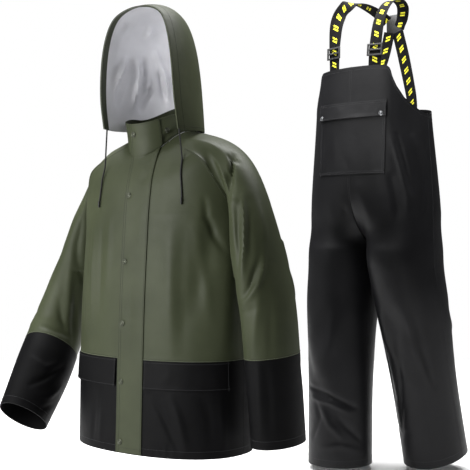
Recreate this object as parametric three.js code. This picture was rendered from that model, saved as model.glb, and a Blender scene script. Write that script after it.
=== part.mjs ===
// Rain suit: hooded jacket and bib overalls, filled out and hollow, as worn.
// Millimetres, +Z up. The origin is at the jacket's neck, level with the shoulder points,
// where the wearer's shoulders hold it up. A garment's own front faces -Y, its wearer's left is +X,
// and each garment is then turned so that its front faces the viewer's left.

import * as THREE from 'three';
import { mergeVertices } from 'three/addons/utils/BufferGeometryUtils.js';

const CLOTH = 2;
const SEAM_GAP = 0.3;
const LAY = 0.4;

const SHOULDER_DROP = 0.13;
const UNDERARM_HEIGHT = -230;

const JACKET_TURN = -35;
const HOOD_TURN = 5;
const BIB_TURN = -43;
const BIB_PLACE = { x: 609, y: 475 };

const OLIVE = 0x4a4f3f;
const BLACK = 0x1d1d1e;
const WEBBING = 0x141414;
const SILVER = 0xb4b5b8;
const GUNMETAL = 0x6b6d66;

// Rings of the jacket's body from the hem up to the neck.
// zFront, zSide, zBack: height of the ring at centre front, side and centre back.
// half, front, back: half width and depths. square: 2 is an ellipse, more is squarer.
// seamFront, seamBack: degrees from centre front and from centre back where the panel ends.
const BODY_RINGS = [
  {
    name: 'hem', zFront: -794, zSide: -794, zBack: -794,
    half: 248, front: 162, back: 150, square: 2.3, seamFront: 90, seamBack: 90,
  },
  {
    name: 'colour', zFront: -561, zSide: -561, zBack: -561,
    half: 247, front: 155, back: 147, square: 2.3, seamFront: 90, seamBack: 90,
  },
  {
    name: 'waist', zFront: -400, zSide: -400, zBack: -400,
    half: 246, front: 148, back: 144, square: 2.3, seamFront: 90, seamBack: 90,
  },
  {
    name: 'underarm', zFront: -230, zSide: -230, zBack: -230,
    half: 243, front: 137, back: 140, square: 2.25, seamFront: 90, seamBack: 90,
  },
  {
    name: 'chest', zFront: -196, zSide: -176, zBack: -178,
    half: 241, front: 133, back: 139, square: 2.2, seamFront: 75, seamBack: 74,
  },
  {
    name: 'blade', zFront: -160, zSide: -100, zBack: -114,
    half: 236, front: 128, back: 134, square: 2.2, seamFront: 60, seamBack: 58,
  },
  {
    name: 'shoulder', zFront: -122, zSide: -26, zBack: -55,
    half: 230, front: 121, back: 122, square: 2.2, seamFront: 49, seamBack: 46,
  },
  {
    name: 'slope', zFront: -88, zSide: 3, zBack: -10,
    half: 166, front: 111, back: 100, square: 2.1, seamFront: 47, seamBack: 43,
  },
  {
    name: 'neck', zFront: -62, zSide: 9, zBack: 20,
    half: 84, front: 102, back: 72, square: 2.1, seamFront: 50, seamBack: 48,
  },
];
const RING = Object.fromEntries(BODY_RINGS.map((ring, index) => [ring.name, index]));

const COLLAR_RINGS = [
  { zFront: -61, zSide: 10, zBack: 21, half: 84, front: 102, back: 72, square: 2.1 },
  { zFront: -18, zSide: 33, zBack: 54, half: 86, front: 107, back: 75, square: 2.1 },
  { zFront: 24, zSide: 56, zBack: 86, half: 90, front: 113, back: 79, square: 2.1 },
];

// Sleeve stations down the arm: centre of the ring, half width across and half depth front to back.
const SLEEVE_LEFT = [
  { x: 312, y: -38, z: -292, across: 57, deep: 88 },
  { x: 338, y: -30, z: -422, across: 59, deep: 85 },
  { x: 346, y: -22, z: -541, across: 60, deep: 82 },
  { x: 351, y: -14, z: -648, across: 60, deep: 81 },
  { x: 355, y: -8, z: -751, across: 60, deep: 80 },
];
const SLEEVE_RIGHT = [
  { x: -308, y: 30, z: -292, across: 55, deep: 74 },
  { x: -358, y: 32, z: -400, across: 60, deep: 78 },
  { x: -394, y: 12, z: -512, across: 66, deep: 82 },
  { x: -380, y: -62, z: -622, across: 70, deep: 84 },
  { x: -365, y: -152, z: -742, across: 60, deep: 76 },
];
const SLEEVE_SEAM_STATION = { left: 2, right: 2.55 };
const SLEEVE_SEAM = 0.0018;

// Folds as [around, along] segments on a piece, in the piece's own degrees or shares and rows.
const BODY_FOLDS = [
  { around0: 62, row0: 3.4, around1: 40, row1: 1.6, wide: 26, deep: -9 },
  { around0: 74, row0: 2.9, around1: 66, row1: 1.2, wide: 30, deep: 8 },
  { around0: 28, row0: 3.2, around1: 24, row1: 0.4, wide: 34, deep: 6 },
  { around0: -66, row0: 3.4, around1: -46, row1: 1.4, wide: 26, deep: -8 },
  { around0: -30, row0: 3.0, around1: -34, row1: 0.5, wide: 34, deep: 5 },
  { around0: 120, row0: 3.6, around1: 142, row1: 1.4, wide: 32, deep: -8 },
  { around0: -122, row0: 3.6, around1: -146, row1: 1.2, wide: 32, deep: -9 },
  { around0: 176, row0: 3.4, around1: 168, row1: 0.3, wide: 40, deep: 7 },
];
const SLEEVE_FOLDS = [
  { around0: 0.16, row0: -0.75, around1: 0.14, row1: 0.3, wide: 20, deep: -11 },
  { around0: 0.3, row0: -0.55, around1: 0.27, row1: 0.6, wide: 22, deep: 8 },
  { around0: 0.4, row0: 0.35, around1: 0.12, row1: 1.3, wide: 20, deep: -8 },
  { around0: 0.62, row0: 0.5, around1: 0.9, row1: 1.5, wide: 22, deep: -8 },
  { around0: 0.34, row0: 1.5, around1: 0.14, row1: 2.3, wide: 22, deep: -6 },
  { around0: 0.75, row0: -0.6, around1: 0.8, row1: 0.4, wide: 24, deep: -8 },
];

const PLACKET = { inner: 55, free: -24, cloth: 2 };
const FLAP = { top: -563, bottom: -630, near: { left: 60, right: 30 }, sideAngle: 74, lift: 3 };
const SNAP = { radius: 7, height: 3, x: -11, sink: 0.2, heights: [-2, -156, -321, -474, -618, -766] };
const COLLAR_SNAP = { x: 65, row: 0.9, sink: 0.3 };

// The hood, seen from the side: y forward is negative. The face edge, crown seam and neck edge.
const HOOD = { half: 124, round: 2.3, tunnel: 25, parting: 0.3, sag: 10.4 };
const HOOD_FACE = [[-112, 16], [-127, 90], [-131, 170], [-130, 235], [-125, 286], [-116, 318]];
const HOOD_TOP = [[-116, 318], [-80, 328], [-40, 331], [6, 321], [46, 294]];
const HOOD_BACK = [[98, 14], [99, 70], [95, 140], [87, 205], [72, 258], [46, 294]];
const HOOD_NECK = [[-112, 16], [-60, 15], [0, 17], [60, 16], [98, 14]];

const CORD = { radius: 2, tipRadius: 3, tip: 16, tipLie: 2.6, lie: 0.5, leaves: 0.08 };
const CORD_ENDS = { left: { x: 143, z: -180 }, right: { x: -119, z: -184 } };

// Rings of one bib leg from the hem up. zIn, zOut: height at the inseam and at the side seam.
// zTilt: how much the back of the ring is higher. x, y: its middle. across, front, back: its half sizes.
const BIB_LEFT = [
  { zIn: -952, zOut: -930, zTilt: 26, x: 117, y: 164, across: 98, front: 98, back: 98 },
  { zIn: -800, zOut: -790, zTilt: 16, x: 112, y: 131, across: 98, front: 99, back: 99 },
  { zIn: -680, zOut: -675, zTilt: 8, x: 112, y: 98, across: 98, front: 101, back: 101 },
  { zIn: -550, zOut: -550, zTilt: 0, x: 111, y: 64, across: 101, front: 108, back: 108 },
  { zIn: -430, zOut: -430, zTilt: 0, x: 110, y: 30, across: 104, front: 118, back: 118 },
  { zIn: -330, zOut: -345, zTilt: 0, x: 106.4, y: 8, across: 104, front: 128, back: 132 },
];
const BIB_RIGHT = [
  { zIn: -967, zOut: -967, zTilt: 0, x: -120, y: -12, across: 98, front: 103, back: 103 },
  { zIn: -800, zOut: -800, zTilt: 0, x: -118, y: -13, across: 98, front: 104, back: 104 },
  { zIn: -680, zOut: -680, zTilt: 0, x: -116, y: -13, across: 98, front: 106, back: 106 },
  { zIn: -550, zOut: -550, zTilt: 0, x: -114, y: -11, across: 99, front: 110, back: 110 },
  { zIn: -430, zOut: -430, zTilt: 0, x: -111, y: -7, across: 103, front: 117, back: 118 },
  { zIn: -330, zOut: -345, zTilt: 0, x: -106.4, y: -2, across: 104, front: 128, back: 132 },
];
// The body above the legs. front and back: heights of the centre seam. side: height at the side seam.
// torso: 0 has the legs' own rings, 1 the shared ring of the body, of half width half and two depths.
const BIB_BODY = [
  { front: -297, side: -315, back: -297, torso: 0, half: 209, bodyFront: 136, bodyBack: 146 },
  { front: -290, side: -288, back: -286, torso: 0.42, half: 209, bodyFront: 136, bodyBack: 146 },
  { front: -268, side: -256, back: -258, torso: 0.76, half: 209, bodyFront: 136, bodyBack: 146 },
  { front: -222, side: -214, back: -206, torso: 0.96, half: 211, bodyFront: 136, bodyBack: 144 },
  { front: -150, side: -150, back: -150, torso: 1, half: 211, bodyFront: 134, bodyBack: 138 },
  { front: -60, side: -70, back: -70, torso: 1, half: 206, bodyFront: 131, bodyBack: 126 },
  { front: 50, side: 10, back: 10, torso: 1, half: 200, bodyFront: 127, bodyBack: 110 },
  { front: 150, side: 62, back: 76, torso: 1, half: 196, bodyFront: 123, bodyBack: 97 },
  { front: 246, side: 100, back: 132, torso: 1, half: 193, bodyFront: 120, bodyBack: 90 },
];
const BIB_SQUARE = 2.3;
// The bib's top edge: the height at each degree from centre front.
const BIB_TOP = [
  { degrees: 0, z: 246 }, { degrees: 22, z: 245 }, { degrees: 34, z: 242 }, { degrees: 38, z: 232 },
  { degrees: 40.5, z: 206 }, { degrees: 45, z: 180 }, { degrees: 54, z: 146 }, { degrees: 66, z: 121 },
  { degrees: 78, z: 107 }, { degrees: 90, z: 101 },
];
// Where across a front or back panel its columns lie, closer at the corner of the bib's top.
const BIB_COLUMNS = [0, 0.13, 0.26, 0.37, 0.42, 0.45, 0.53, 0.64, 0.76, 0.88, 1];
const BIB_FOLDS = [
  { around0: 0.62, row0: 8.5, around1: 0.5, row1: 4.2, wide: 26, deep: -8 },
  { around0: 0.8, row0: 6.5, around1: 0.35, row1: 4.0, wide: 28, deep: 7 },
  { around0: 0.15, row0: 5.0, around1: 0.6, row1: 3.0, wide: 26, deep: -8 },
  { around0: 0.25, row0: 3.4, around1: 0.62, row1: 1.6, wide: 26, deep: 7 },
  { around0: 0.75, row0: 2.6, around1: 0.35, row1: 0.9, wide: 26, deep: -7 },
];

const POCKET = { half: 118, top: 136, bottom: -75, flapTop: 141, flapBottom: 92, flapLift: 4 };
const FLAP_SNAP = { x: 106, z: 100 };

const STRAP = { width: 40, cloth: 2 };
const BRACE_RIGHT = [
  { x: -66, y: -111.6, z: 205, turn: -9 },
  { x: -67, y: -110.6, z: 262, turn: -8 },
  { x: -69, y: -106, z: 330, turn: 4 },
  { x: -70, y: -94, z: 392, turn: 30 },
  { x: -68, y: -64, z: 438, turn: 78 },
  { x: -64, y: -24, z: 462, turn: 20 },
  { x: -56, y: 22, z: 462, turn: 0 },
  { x: -40, y: 66, z: 446, turn: -8 },
  { x: -16, y: 98, z: 418, turn: -12 },
];
const BRACE_LEFT = [
  { x: 79, y: -108, z: 205, turn: 11 },
  { x: 79, y: -107.5, z: 262, turn: 10 },
  { x: 80, y: -103, z: 320, turn: 4 },
  { x: 80, y: -85, z: 384, turn: 0 },
  { x: 78, y: -44, z: 436, turn: 0 },
  { x: 72, y: 16, z: 458, turn: 0 },
  { x: 60, y: 66, z: 450, turn: 4 },
  { x: 40, y: 96, z: 424, turn: 8 },
  { x: 22, y: 106, z: 396, turn: 10 },
];
const BRACE_BACK_RIGHT = [
  { x: -14, y: 105, z: 384, turn: 0 },
  { x: -36, y: 105, z: 305, turn: 0 },
  { x: -68, y: 91, z: 210, turn: -8 },
  { x: -86, y: 80.3, z: 150, turn: -12 },
  { x: -91, y: 75.3, z: 92, turn: -12 },
];
const BRACE_BACK_LEFT = [
  { x: 14, y: 109, z: 384, turn: 0 },
  { x: 36, y: 108, z: 305, turn: 0 },
  { x: 68, y: 92, z: 210, turn: 8 },
  { x: 86, y: 80.3, z: 150, turn: 12 },
  { x: 91, y: 75.3, z: 92, turn: 12 },
];
const PATCH = { y: 113.6, z: 408, half: 29, tall: 32, thick: 3 };
const SLIDER = { wide: 50, tall: 36, thick: 4, bar: 5, place: 1.5, clear: { left: 0.6, right: 1.3 } };

const radians = THREE.MathUtils.degToRad;

// A number, or a row of numbers, part way along a table, on a smooth curve through its rows.
function smoothAt(table, key, place) {
  const last = table.length - 1;
  const held = Math.min(Math.max(place, 0), last);
  const i = Math.min(Math.floor(held), last - 1);
  const f = held - i;
  const p1 = table[i][key];
  const p2 = table[i + 1][key];
  const p0 = i > 0 ? table[i - 1][key] : 2 * p1 - p2;
  const p3 = i + 2 <= last ? table[i + 2][key] : 2 * p2 - p1;
  const m1 = (p2 - p0) / 2;
  const m2 = (p3 - p1) / 2;
  const f2 = f * f;
  const f3 = f2 * f;
  return (2 * f3 - 3 * f2 + 1) * p1 + (f3 - 2 * f2 + f) * m1 + (3 * f2 - 2 * f3) * p2 + (f3 - f2) * m2;
}

function curvePoint(points, share) {
  const rows = points.map(([a, b]) => ({ a, b }));
  const place = share * (points.length - 1);
  return [smoothAt(rows, 'a', place), smoothAt(rows, 'b', place)];
}

function signedPower(value, power) {
  return Math.sign(value) * Math.abs(value) ** power;
}

// How far the folds of a table push the cloth out at a place on a piece.
function foldDepth(folds, around, row, aroundScale, rowScale) {
  let depth = 0;
  for (const fold of folds) {
    const ax = (around - fold.around0) * aroundScale;
    const ay = (row - fold.row0) * rowScale;
    const bx = (fold.around1 - fold.around0) * aroundScale;
    const by = (fold.row1 - fold.row0) * rowScale;
    const share = Math.min(Math.max((ax * bx + ay * by) / (bx * bx + by * by), 0), 1);
    const away = Math.hypot(ax - share * bx, ay - share * by) / fold.wide;
    depth += fold.deep * Math.exp(-away * away) * (0.45 + 0.55 * Math.sin(Math.PI * share));
  }
  return depth;
}

// A closed cloth wall from a grid of outer points: rows of columns, each a vector.
// ring joins the last column to the first. inside is a point on the hollow's side of the cloth.
// side keeps the whole wall on one side of the middle, for a half that is seamed there.
// lining gives the inner points where a piece's own surface does.
function clothWall(grid, { ring = false, inside, cloth = CLOTH, side = 0, lining = null }) {
  const rows = grid.length;
  const columns = grid[0].length;
  const held = (value, count) => Math.min(Math.max(value, 0), count - 1);
  const at = (r, c) => grid[held(r, rows)][ring ? (c + columns) % columns : held(c, columns)];
  const normals = [];
  let facing = 0;
  for (let r = 0; r < rows; r += 1) {
    for (let c = 0; c < columns; c += 1) {
      const along = at(r + 1, c).clone().sub(at(r - 1, c));
      const across = at(r, c + 1).clone().sub(at(r, c - 1));
      const normal = across.cross(along).normalize();
      normals.push(normal);
      facing += normal.dot(at(r, c).clone().sub(inside).normalize());
    }
  }
  const sign = facing > 0 ? 1 : -1;
  const outer = grid.flat();
  const inner = lining ? lining.flat()
    : outer.map((point, i) => point.clone().addScaledVector(normals[i], -sign * cloth));
  if (side !== 0) {
    inner.forEach((point) => point.setX(side * Math.max(side * point.x, SEAM_GAP / 2)));
  }
  const index = (r, c, side) => side * rows * columns + r * columns + (c % columns);
  const faces = [];
  const quad = (a, b, c, d) => {
    faces.push(a, b, c);
    faces.push(a, c, d);
  };
  const wide = ring ? columns : columns - 1;
  for (let r = 0; r < rows - 1; r += 1) {
    for (let c = 0; c < wide; c += 1) {
      quad(index(r, c, 0), index(r, c + 1, 0), index(r + 1, c + 1, 0), index(r + 1, c, 0));
      quad(index(r, c, 1), index(r + 1, c, 1), index(r + 1, c + 1, 1), index(r, c + 1, 1));
    }
  }
  for (let c = 0; c < wide; c += 1) {
    quad(index(0, c, 0), index(0, c, 1), index(0, c + 1, 1), index(0, c + 1, 0));
    const top = rows - 1;
    quad(index(top, c, 0), index(top, c + 1, 0), index(top, c + 1, 1), index(top, c, 1));
  }
  for (let r = 0; r < rows - 1 && !ring; r += 1) {
    const end = columns - 1;
    quad(index(r, 0, 0), index(r + 1, 0, 0), index(r + 1, 0, 1), index(r, 0, 1));
    quad(index(r, end, 0), index(r, end, 1), index(r + 1, end, 1), index(r + 1, end, 0));
  }
  return closedGeometry([...outer, ...inner], faces);
}

// A geometry from points and triangles, turned to face out.
function closedGeometry(points, faces) {
  let volume = 0;
  for (let i = 0; i < faces.length; i += 3) {
    const [a, b, c] = [points[faces[i]], points[faces[i + 1]], points[faces[i + 2]]];
    volume += a.dot(b.clone().cross(c));
  }
  const order = volume < 0 ? [0, 2, 1] : [0, 1, 2];
  const turned = [];
  for (let i = 0; i < faces.length; i += 3) {
    order.forEach((k) => turned.push(faces[i + k]));
  }
  const geometry = new THREE.BufferGeometry();
  const numbers = points.flatMap((p) => [p.x, p.y, p.z]);
  geometry.setAttribute('position', new THREE.Float32BufferAttribute(numbers, 3));
  geometry.setIndex(turned);
  return mergeVertices(geometry, 1e-4);
}

function grid(rowValues, columnValues, pointAt) {
  return rowValues.map((row) => columnValues.map((column) => pointAt(column, row)));
}

function steps(from, to, count) {
  return Array.from({ length: count + 1 }, (_, i) => from + ((to - from) * i) / count);
}

const suit = new THREE.Group();
const jacket = new THREE.Group();
jacket.rotation.z = radians(JACKET_TURN);
const hood = new THREE.Group();
hood.rotation.z = radians(HOOD_TURN);
jacket.add(hood);
const bib = new THREE.Group();
bib.rotation.z = radians(BIB_TURN);
bib.position.set(BIB_PLACE.x, BIB_PLACE.y, 0);
suit.add(jacket, bib);

// The jacket's right shoulder hangs lower than its left, from the underarm's height up.
function shoulderDrop(x, z) {
  const away = Math.max(0, -x);
  const rise = THREE.MathUtils.smoothstep(z, UNDERARM_HEIGHT, UNDERARM_HEIGHT + 150);
  return SHOULDER_DROP * ((away * away) / (away + 50)) * rise;
}

function dropShoulder(geometry) {
  const position = geometry.attributes.position;
  for (let i = 0; i < position.count; i += 1) {
    position.setZ(i, position.getZ(i) - shoulderDrop(position.getX(i), position.getZ(i)));
  }
  return geometry;
}

function addPiece(parent, name, geometry, color, roughness = 0.5, metalness = 0) {
  const mesh = new THREE.Mesh(geometry, new THREE.MeshStandardMaterial({ color, roughness, metalness }));
  mesh.name = name;
  parent.add(mesh);
  return mesh;
}

// Jacket body

function ringPoint(table, degrees, place) {
  const angle = radians(degrees);
  const power = 2 / smoothAt(table, 'square', place);
  const cosine = Math.cos(angle);
  const deep = smoothAt(table, cosine > 0 ? 'front' : 'back', place);
  const zSide = smoothAt(table, 'zSide', place);
  const zEnd = smoothAt(table, cosine > 0 ? 'zFront' : 'zBack', place);
  return new THREE.Vector3(
    smoothAt(table, 'half', place) * signedPower(Math.sin(angle), power),
    -deep * signedPower(cosine, power),
    zSide + (zEnd - zSide) * cosine * cosine,
  );
}

function outwardAt(pointAt, a, b, aStep, bStep) {
  const across = pointAt(a + aStep, b).sub(pointAt(a - aStep, b));
  const along = pointAt(a, b + bStep).sub(pointAt(a, b - bStep));
  return across.cross(along).normalize();
}

const BODY_SCALE = { around: 3.4, row: 170 };

function bodyPoint(degrees, place, out = 0) {
  const plain = (a, b) => ringPoint(BODY_RINGS, a, b);
  const held = Math.min(Math.max(place, 0.01), RING.neck - 0.01);
  const normal = outwardAt(plain, degrees, held, 0.5, 0.01);
  const fade = Math.min(Math.max((RING.shoulder - place) / 2, 0), 1);
  const fold = foldDepth(BODY_FOLDS, degrees, place, BODY_SCALE.around, BODY_SCALE.row) * fade;
  return plain(degrees, place).addScaledVector(normal, fold + out);
}

// The degrees at which a ring is x wide.
function degreesAtX(table, x, place) {
  const share = Math.abs(x) / smoothAt(table, 'half', place);
  const sine = Math.min(share, 1) ** (smoothAt(table, 'square', place) / 2);
  return Math.sign(x) * THREE.MathUtils.radToDeg(Math.asin(sine));
}

const COLOUR_SEAM = 0.0008;
const upperRows = [
  ...steps(RING.colour + COLOUR_SEAM, RING.underarm, 5),
  ...steps(RING.underarm, RING.neck, 9).slice(1),
];
const armRows = upperRows.filter((row) => row >= RING.underarm);
const lowerRows = steps(RING.hem, RING.colour - COLOUR_SEAM, 4);
const seamShrink = 0.04;

function panelDegrees(place, edge) {
  const front = smoothAt(BODY_RINGS, 'seamFront', place);
  const back = 180 - smoothAt(BODY_RINGS, 'seamBack', place);
  return edge === 'front' ? Math.min(front, 90) : Math.max(back, 90);
}

function frontPanel(rows, side, out = 0) {
  return grid(rows, steps(0, 1, 10), (share, row) => {
    const end = panelDegrees(row, 'front') - seamShrink;
    return bodyPoint(side * (seamShrink + (end - seamShrink) * share), row, out);
  });
}

function backPanel(rows, out = 0) {
  return grid(rows, steps(-1, 1, 16), (share, row) => {
    const span = 180 - panelDegrees(row, 'back') - seamShrink;
    return bodyPoint(180 + span * share, row, out);
  });
}

function frontWall(rows, side) {
  const lining = frontPanel(rows, side, -CLOTH);
  return clothWall(frontPanel(rows, side), { inside: chestMiddle, side, lining });
}

function backWall(rows) {
  return clothWall(backPanel(rows), { inside: chestMiddle, lining: backPanel(rows, -CLOTH) });
}

const chestMiddle = new THREE.Vector3(0, 0, -400);
const sides = { left: 1, right: -1 };
for (const [name, side] of Object.entries(sides)) {
  addPiece(jacket, `jacket_front_${name}`, dropShoulder(frontWall(upperRows, side)), OLIVE);
  addPiece(jacket, `jacket_lower_front_${name}`, frontWall(lowerRows, side), BLACK);
}
addPiece(jacket, 'jacket_back', dropShoulder(backWall(upperRows)), OLIVE);
addPiece(jacket, 'jacket_lower_back', backWall(lowerRows), BLACK);

// Sleeves: from the closed raglan seam, over the shoulder, down the arm to the cuff

const NECK_STEPS = 6;
const SEAM_SHARE = 0.38;
const seamCount = armRows.length - 1;

// The raglan seam's places: up the front seam, across the neck and down the back seam.
function seamPlaces() {
  const places = [];
  armRows.forEach((row, i) => {
    places.push({ degrees: panelDegrees(row, 'front'), row, share: (SEAM_SHARE * i) / seamCount });
  });
  const front = panelDegrees(RING.neck, 'front');
  const back = panelDegrees(RING.neck, 'back');
  for (let i = 1; i < NECK_STEPS; i += 1) {
    const f = i / NECK_STEPS;
    const share = SEAM_SHARE + (1 - 2 * SEAM_SHARE) * f;
    places.push({ degrees: front + (back - front) * f, row: RING.neck, share });
  }
  [...armRows].reverse().slice(0, -1).forEach((row, i) => {
    const share = 1 - SEAM_SHARE + (SEAM_SHARE * i) / seamCount;
    places.push({ degrees: panelDegrees(row, 'back'), row, share });
  });
  return places;
}

const SEAM_PLACES = seamPlaces();
const UNDERARM_LEAVES = new THREE.Vector3(0.8, 0, -0.6);

// The direction in which the sleeve's cloth leaves the seam, for the wearer's left side.
function leaving(i) {
  const count = SEAM_PLACES.length;
  const here = SEAM_PLACES[i];
  const next = SEAM_PLACES[(i + 1) % count];
  const before = SEAM_PLACES[(i + count - 1) % count];
  const plain = (a, b) => ringPoint(BODY_RINGS, a, b);
  const held = Math.min(here.row, RING.neck - 0.02);
  const normal = outwardAt(plain, here.degrees, held, 0.5, 0.01);
  const along = plain(next.degrees, next.row).sub(plain(before.degrees, before.row));
  const direction = normal.clone().cross(along).normalize();
  if (direction.x < 0) {
    direction.negate();
  }
  const share = Math.min(here.share, 1 - here.share);
  const under = Math.max(0, 1 - share / 0.16);
  return direction.lerp(UNDERARM_LEAVES, under * under * (3 - 2 * under)).normalize();
}

function stationRing(table, place, share, side) {
  const centre = new THREE.Vector3(...['x', 'y', 'z'].map((key) => smoothAt(table, key, place)));
  const ahead = new THREE.Vector3(...['x', 'y', 'z'].map((key) => smoothAt(table, key, place + 0.02)));
  const behind = new THREE.Vector3(...['x', 'y', 'z'].map((key) => smoothAt(table, key, place - 0.02)));
  const down = ahead.sub(behind).normalize();
  const across = new THREE.Vector3(side, 0, 0);
  across.addScaledVector(down, -across.dot(down)).normalize();
  const front = new THREE.Vector3().crossVectors(down, across).multiplyScalar(side).normalize();
  const angle = 2 * Math.PI * share;
  const point = centre
    .addScaledVector(across, -smoothAt(table, 'across', place) * Math.cos(angle))
    .addScaledVector(front, smoothAt(table, 'deep', place) * Math.sin(angle));
  return { point, down };
}

const CAP_REACH = { top: 1.45, side: 0.95, under: 0.45 };
const UNDERARM_CLEAR = 2.6;
const SLEEVE_SCALE = { around: 470, row: 130 };

// A sleeve's outer point. row -1 is the raglan seam, 0 the first station, then the others.
function sleevePoint(i, row, side, table) {
  const place = SEAM_PLACES[i];
  const { point, down } = stationRing(table, Math.max(row, 0), place.share, side);
  if (row >= 0) {
    return point;
  }
  const share = row + 1;
  const seam = ringPoint(BODY_RINGS, place.degrees, place.row);
  const leave = leaving(i);
  const low = Math.max(0, 1 - Math.min(place.share, 1 - place.share) / 0.14);
  seam.addScaledVector(leave, 1.5 * SEAM_GAP + UNDERARM_CLEAR * low);
  seam.x *= side;
  leave.x *= side;
  const span = seam.distanceTo(point);
  const high = Math.sin(Math.PI * place.share);
  const reach = CAP_REACH.under + (CAP_REACH.side - CAP_REACH.under) * Math.min(1, high * 1.6)
    + (CAP_REACH.top - CAP_REACH.side) * Math.max(0, high * high * 2 - 1);
  const s2 = share * share;
  const s3 = s2 * share;
  return seam.clone().multiplyScalar(2 * s3 - 3 * s2 + 1)
    .addScaledVector(leave, (s3 - 2 * s2 + share) * span * reach)
    .addScaledVector(point, 3 * s2 - 2 * s3)
    .addScaledVector(down, (s3 - s2) * span * reach);
}

function sleeveGrid(rows, side, table) {
  const columns = SEAM_PLACES.map((_, i) => i);
  const plain = grid(rows, columns, (i, row) => sleevePoint(i, row, side, table));
  const axis = rows.map((row) => stationRing(table, Math.max(row, 0), 0, side).point
    .lerp(stationRing(table, Math.max(row, 0), 0.5, side).point, 0.5));
  return plain.map((line, r) => line.map((point, i) => {
    const share = SEAM_PLACES[i].share;
    const high = rows[r] < 0 ? Math.sin(Math.PI * share) ** 4 : 0;
    const fade = Math.min(1, Math.max(0, (rows[r] + 0.9) * 3)) * (1 - high);
    const depth = foldDepth(SLEEVE_FOLDS, share, rows[r], SLEEVE_SCALE.around, SLEEVE_SCALE.row) * fade;
    const out = point.clone().sub(axis[r]).normalize();
    const besideBody = Math.max(0, Math.cos(2 * Math.PI * share)) * (rows[r] < 0.4 ? 1 : 0);
    return point.addScaledVector(out, depth * (1 - besideBody));
  }));
}

function sleeve(name, side, table) {
  const seam = SLEEVE_SEAM_STATION[name];
  const end = table.length - 1;
  const upper = [...steps(-1, 0, 7), ...steps(0, seam - SLEEVE_SEAM, 5).slice(1)];
  const lower = steps(seam + SLEEVE_SEAM, end, 4);
  const shoulder = new THREE.Vector3(side * 250, 0, -200);
  const cuff = new THREE.Vector3(table[end].x, table[end].y, table[end].z);
  const wall = clothWall(sleeveGrid(upper, side, table), { ring: true, inside: shoulder });
  addPiece(jacket, `sleeve_${name}_upper`, dropShoulder(wall), OLIVE);
  const forearm = clothWall(sleeveGrid(lower, side, table), { ring: true, inside: cuff });
  addPiece(jacket, `sleeve_${name}_lower`, forearm, BLACK);
}

sleeve('left', sides.left, SLEEVE_LEFT);
sleeve('right', sides.right, SLEEVE_RIGHT);

// Collar, placket, pocket flaps

function collarPoint(degrees, place, out = 0) {
  const plain = (a, b) => ringPoint(COLLAR_RINGS, a, b);
  const normal = outwardAt(plain, degrees, Math.min(Math.max(place, 0.01), 1.99), 0.5, 0.01);
  return plain(degrees, place).addScaledVector(normal, out);
}

const collarGrid = grid(steps(0, 2, 4), steps(2, 358, 26), (degrees, row) => collarPoint(degrees, row));
const collarWall = clothWall(collarGrid, { inside: new THREE.Vector3(0, 0, 10) });
addPiece(jacket, 'collar', dropShoulder(collarWall), OLIVE);

// A point over the front, x across, moved out. row runs over the body's rings, then the collar's.
function overFront(x, row, out) {
  if (row <= RING.neck) {
    return bodyPoint(degreesAtX(BODY_RINGS, x, row), row, out);
  }
  const place = (row - RING.neck) * 2;
  return collarPoint(degreesAtX(COLLAR_RINGS, x, place), place, out);
}

const placketRows = [
  ...steps(RING.hem + 0.01, RING.underarm, 11),
  ...armRows.slice(1),
  ...steps(RING.neck, RING.neck + 1, 4).slice(1),
];
const placketOut = PLACKET.cloth + 2 * LAY;
const PLACKET_LIE = { body: -0.1, collar: 0.3, corner: 2.2 };
const placketGrid = grid(placketRows, steps(PLACKET.free, PLACKET.inner, 4), (x, row) => {
  const corner = Math.max(0, 1 - Math.abs(row - RING.neck) / 0.6);
  const lie = row > RING.neck ? PLACKET_LIE.collar : PLACKET_LIE.body;
  return overFront(x, row, placketOut + lie + PLACKET_LIE.corner * corner);
});
const placketWall = clothWall(placketGrid, { inside: chestMiddle, cloth: PLACKET.cloth });
addPiece(jacket, 'placket', dropShoulder(placketWall), OLIVE);

// The ring place at a height, below the underarm, where each ring is level.
function rowAtHeight(z) {
  const top = RING.colour;
  const above = BODY_RINGS.findIndex((ring, i) => i > 0 && ring.zFront >= z);
  const index = Math.max(above, top);
  let low = index - 1;
  let high = index;
  for (let i = 0; i < 30; i += 1) {
    const middle = (low + high) / 2;
    if (smoothAt(BODY_RINGS, 'zFront', middle) < z) {
      low = middle;
    } else {
      high = middle;
    }
  }
  return (low + high) / 2;
}

for (const [name, side] of Object.entries(sides)) {
  const near = degreesAtX(BODY_RINGS, FLAP.near[name], RING.colour);
  const rows = steps(rowAtHeight(FLAP.bottom), rowAtHeight(FLAP.top), 2);
  const flap = grid(rows, steps(near, FLAP.sideAngle, 10), (degrees, row) => {
    const lift = (FLAP.lift * (rows[2] - row)) / (rows[2] - rows[0]);
    return bodyPoint(side * degrees, row, CLOTH + 2 * LAY + lift);
  });
  addPiece(jacket, `pocket_flap_${name}`, clothWall(flap, { inside: chestMiddle }), BLACK);
}

// Snaps

function snapGeometry(radius, height) {
  const profile = [[0, 0], [radius * 0.8, 0], [radius, height * 0.3], [radius * 0.86, height * 0.8],
    [radius * 0.6, height], [0, height * 0.8]].map(([x, y]) => new THREE.Vector2(x, y));
  return new THREE.LatheGeometry(profile, 12);
}

function addSnap(parent, name, radius, height, point, outward, color) {
  const mesh = addPiece(parent, name, snapGeometry(radius, height), color, 0.35, 0.8);
  mesh.position.copy(point).addScaledVector(outward, SEAM_GAP);
  mesh.quaternion.setFromUnitVectors(new THREE.Vector3(0, 1, 0), outward);
}

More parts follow.
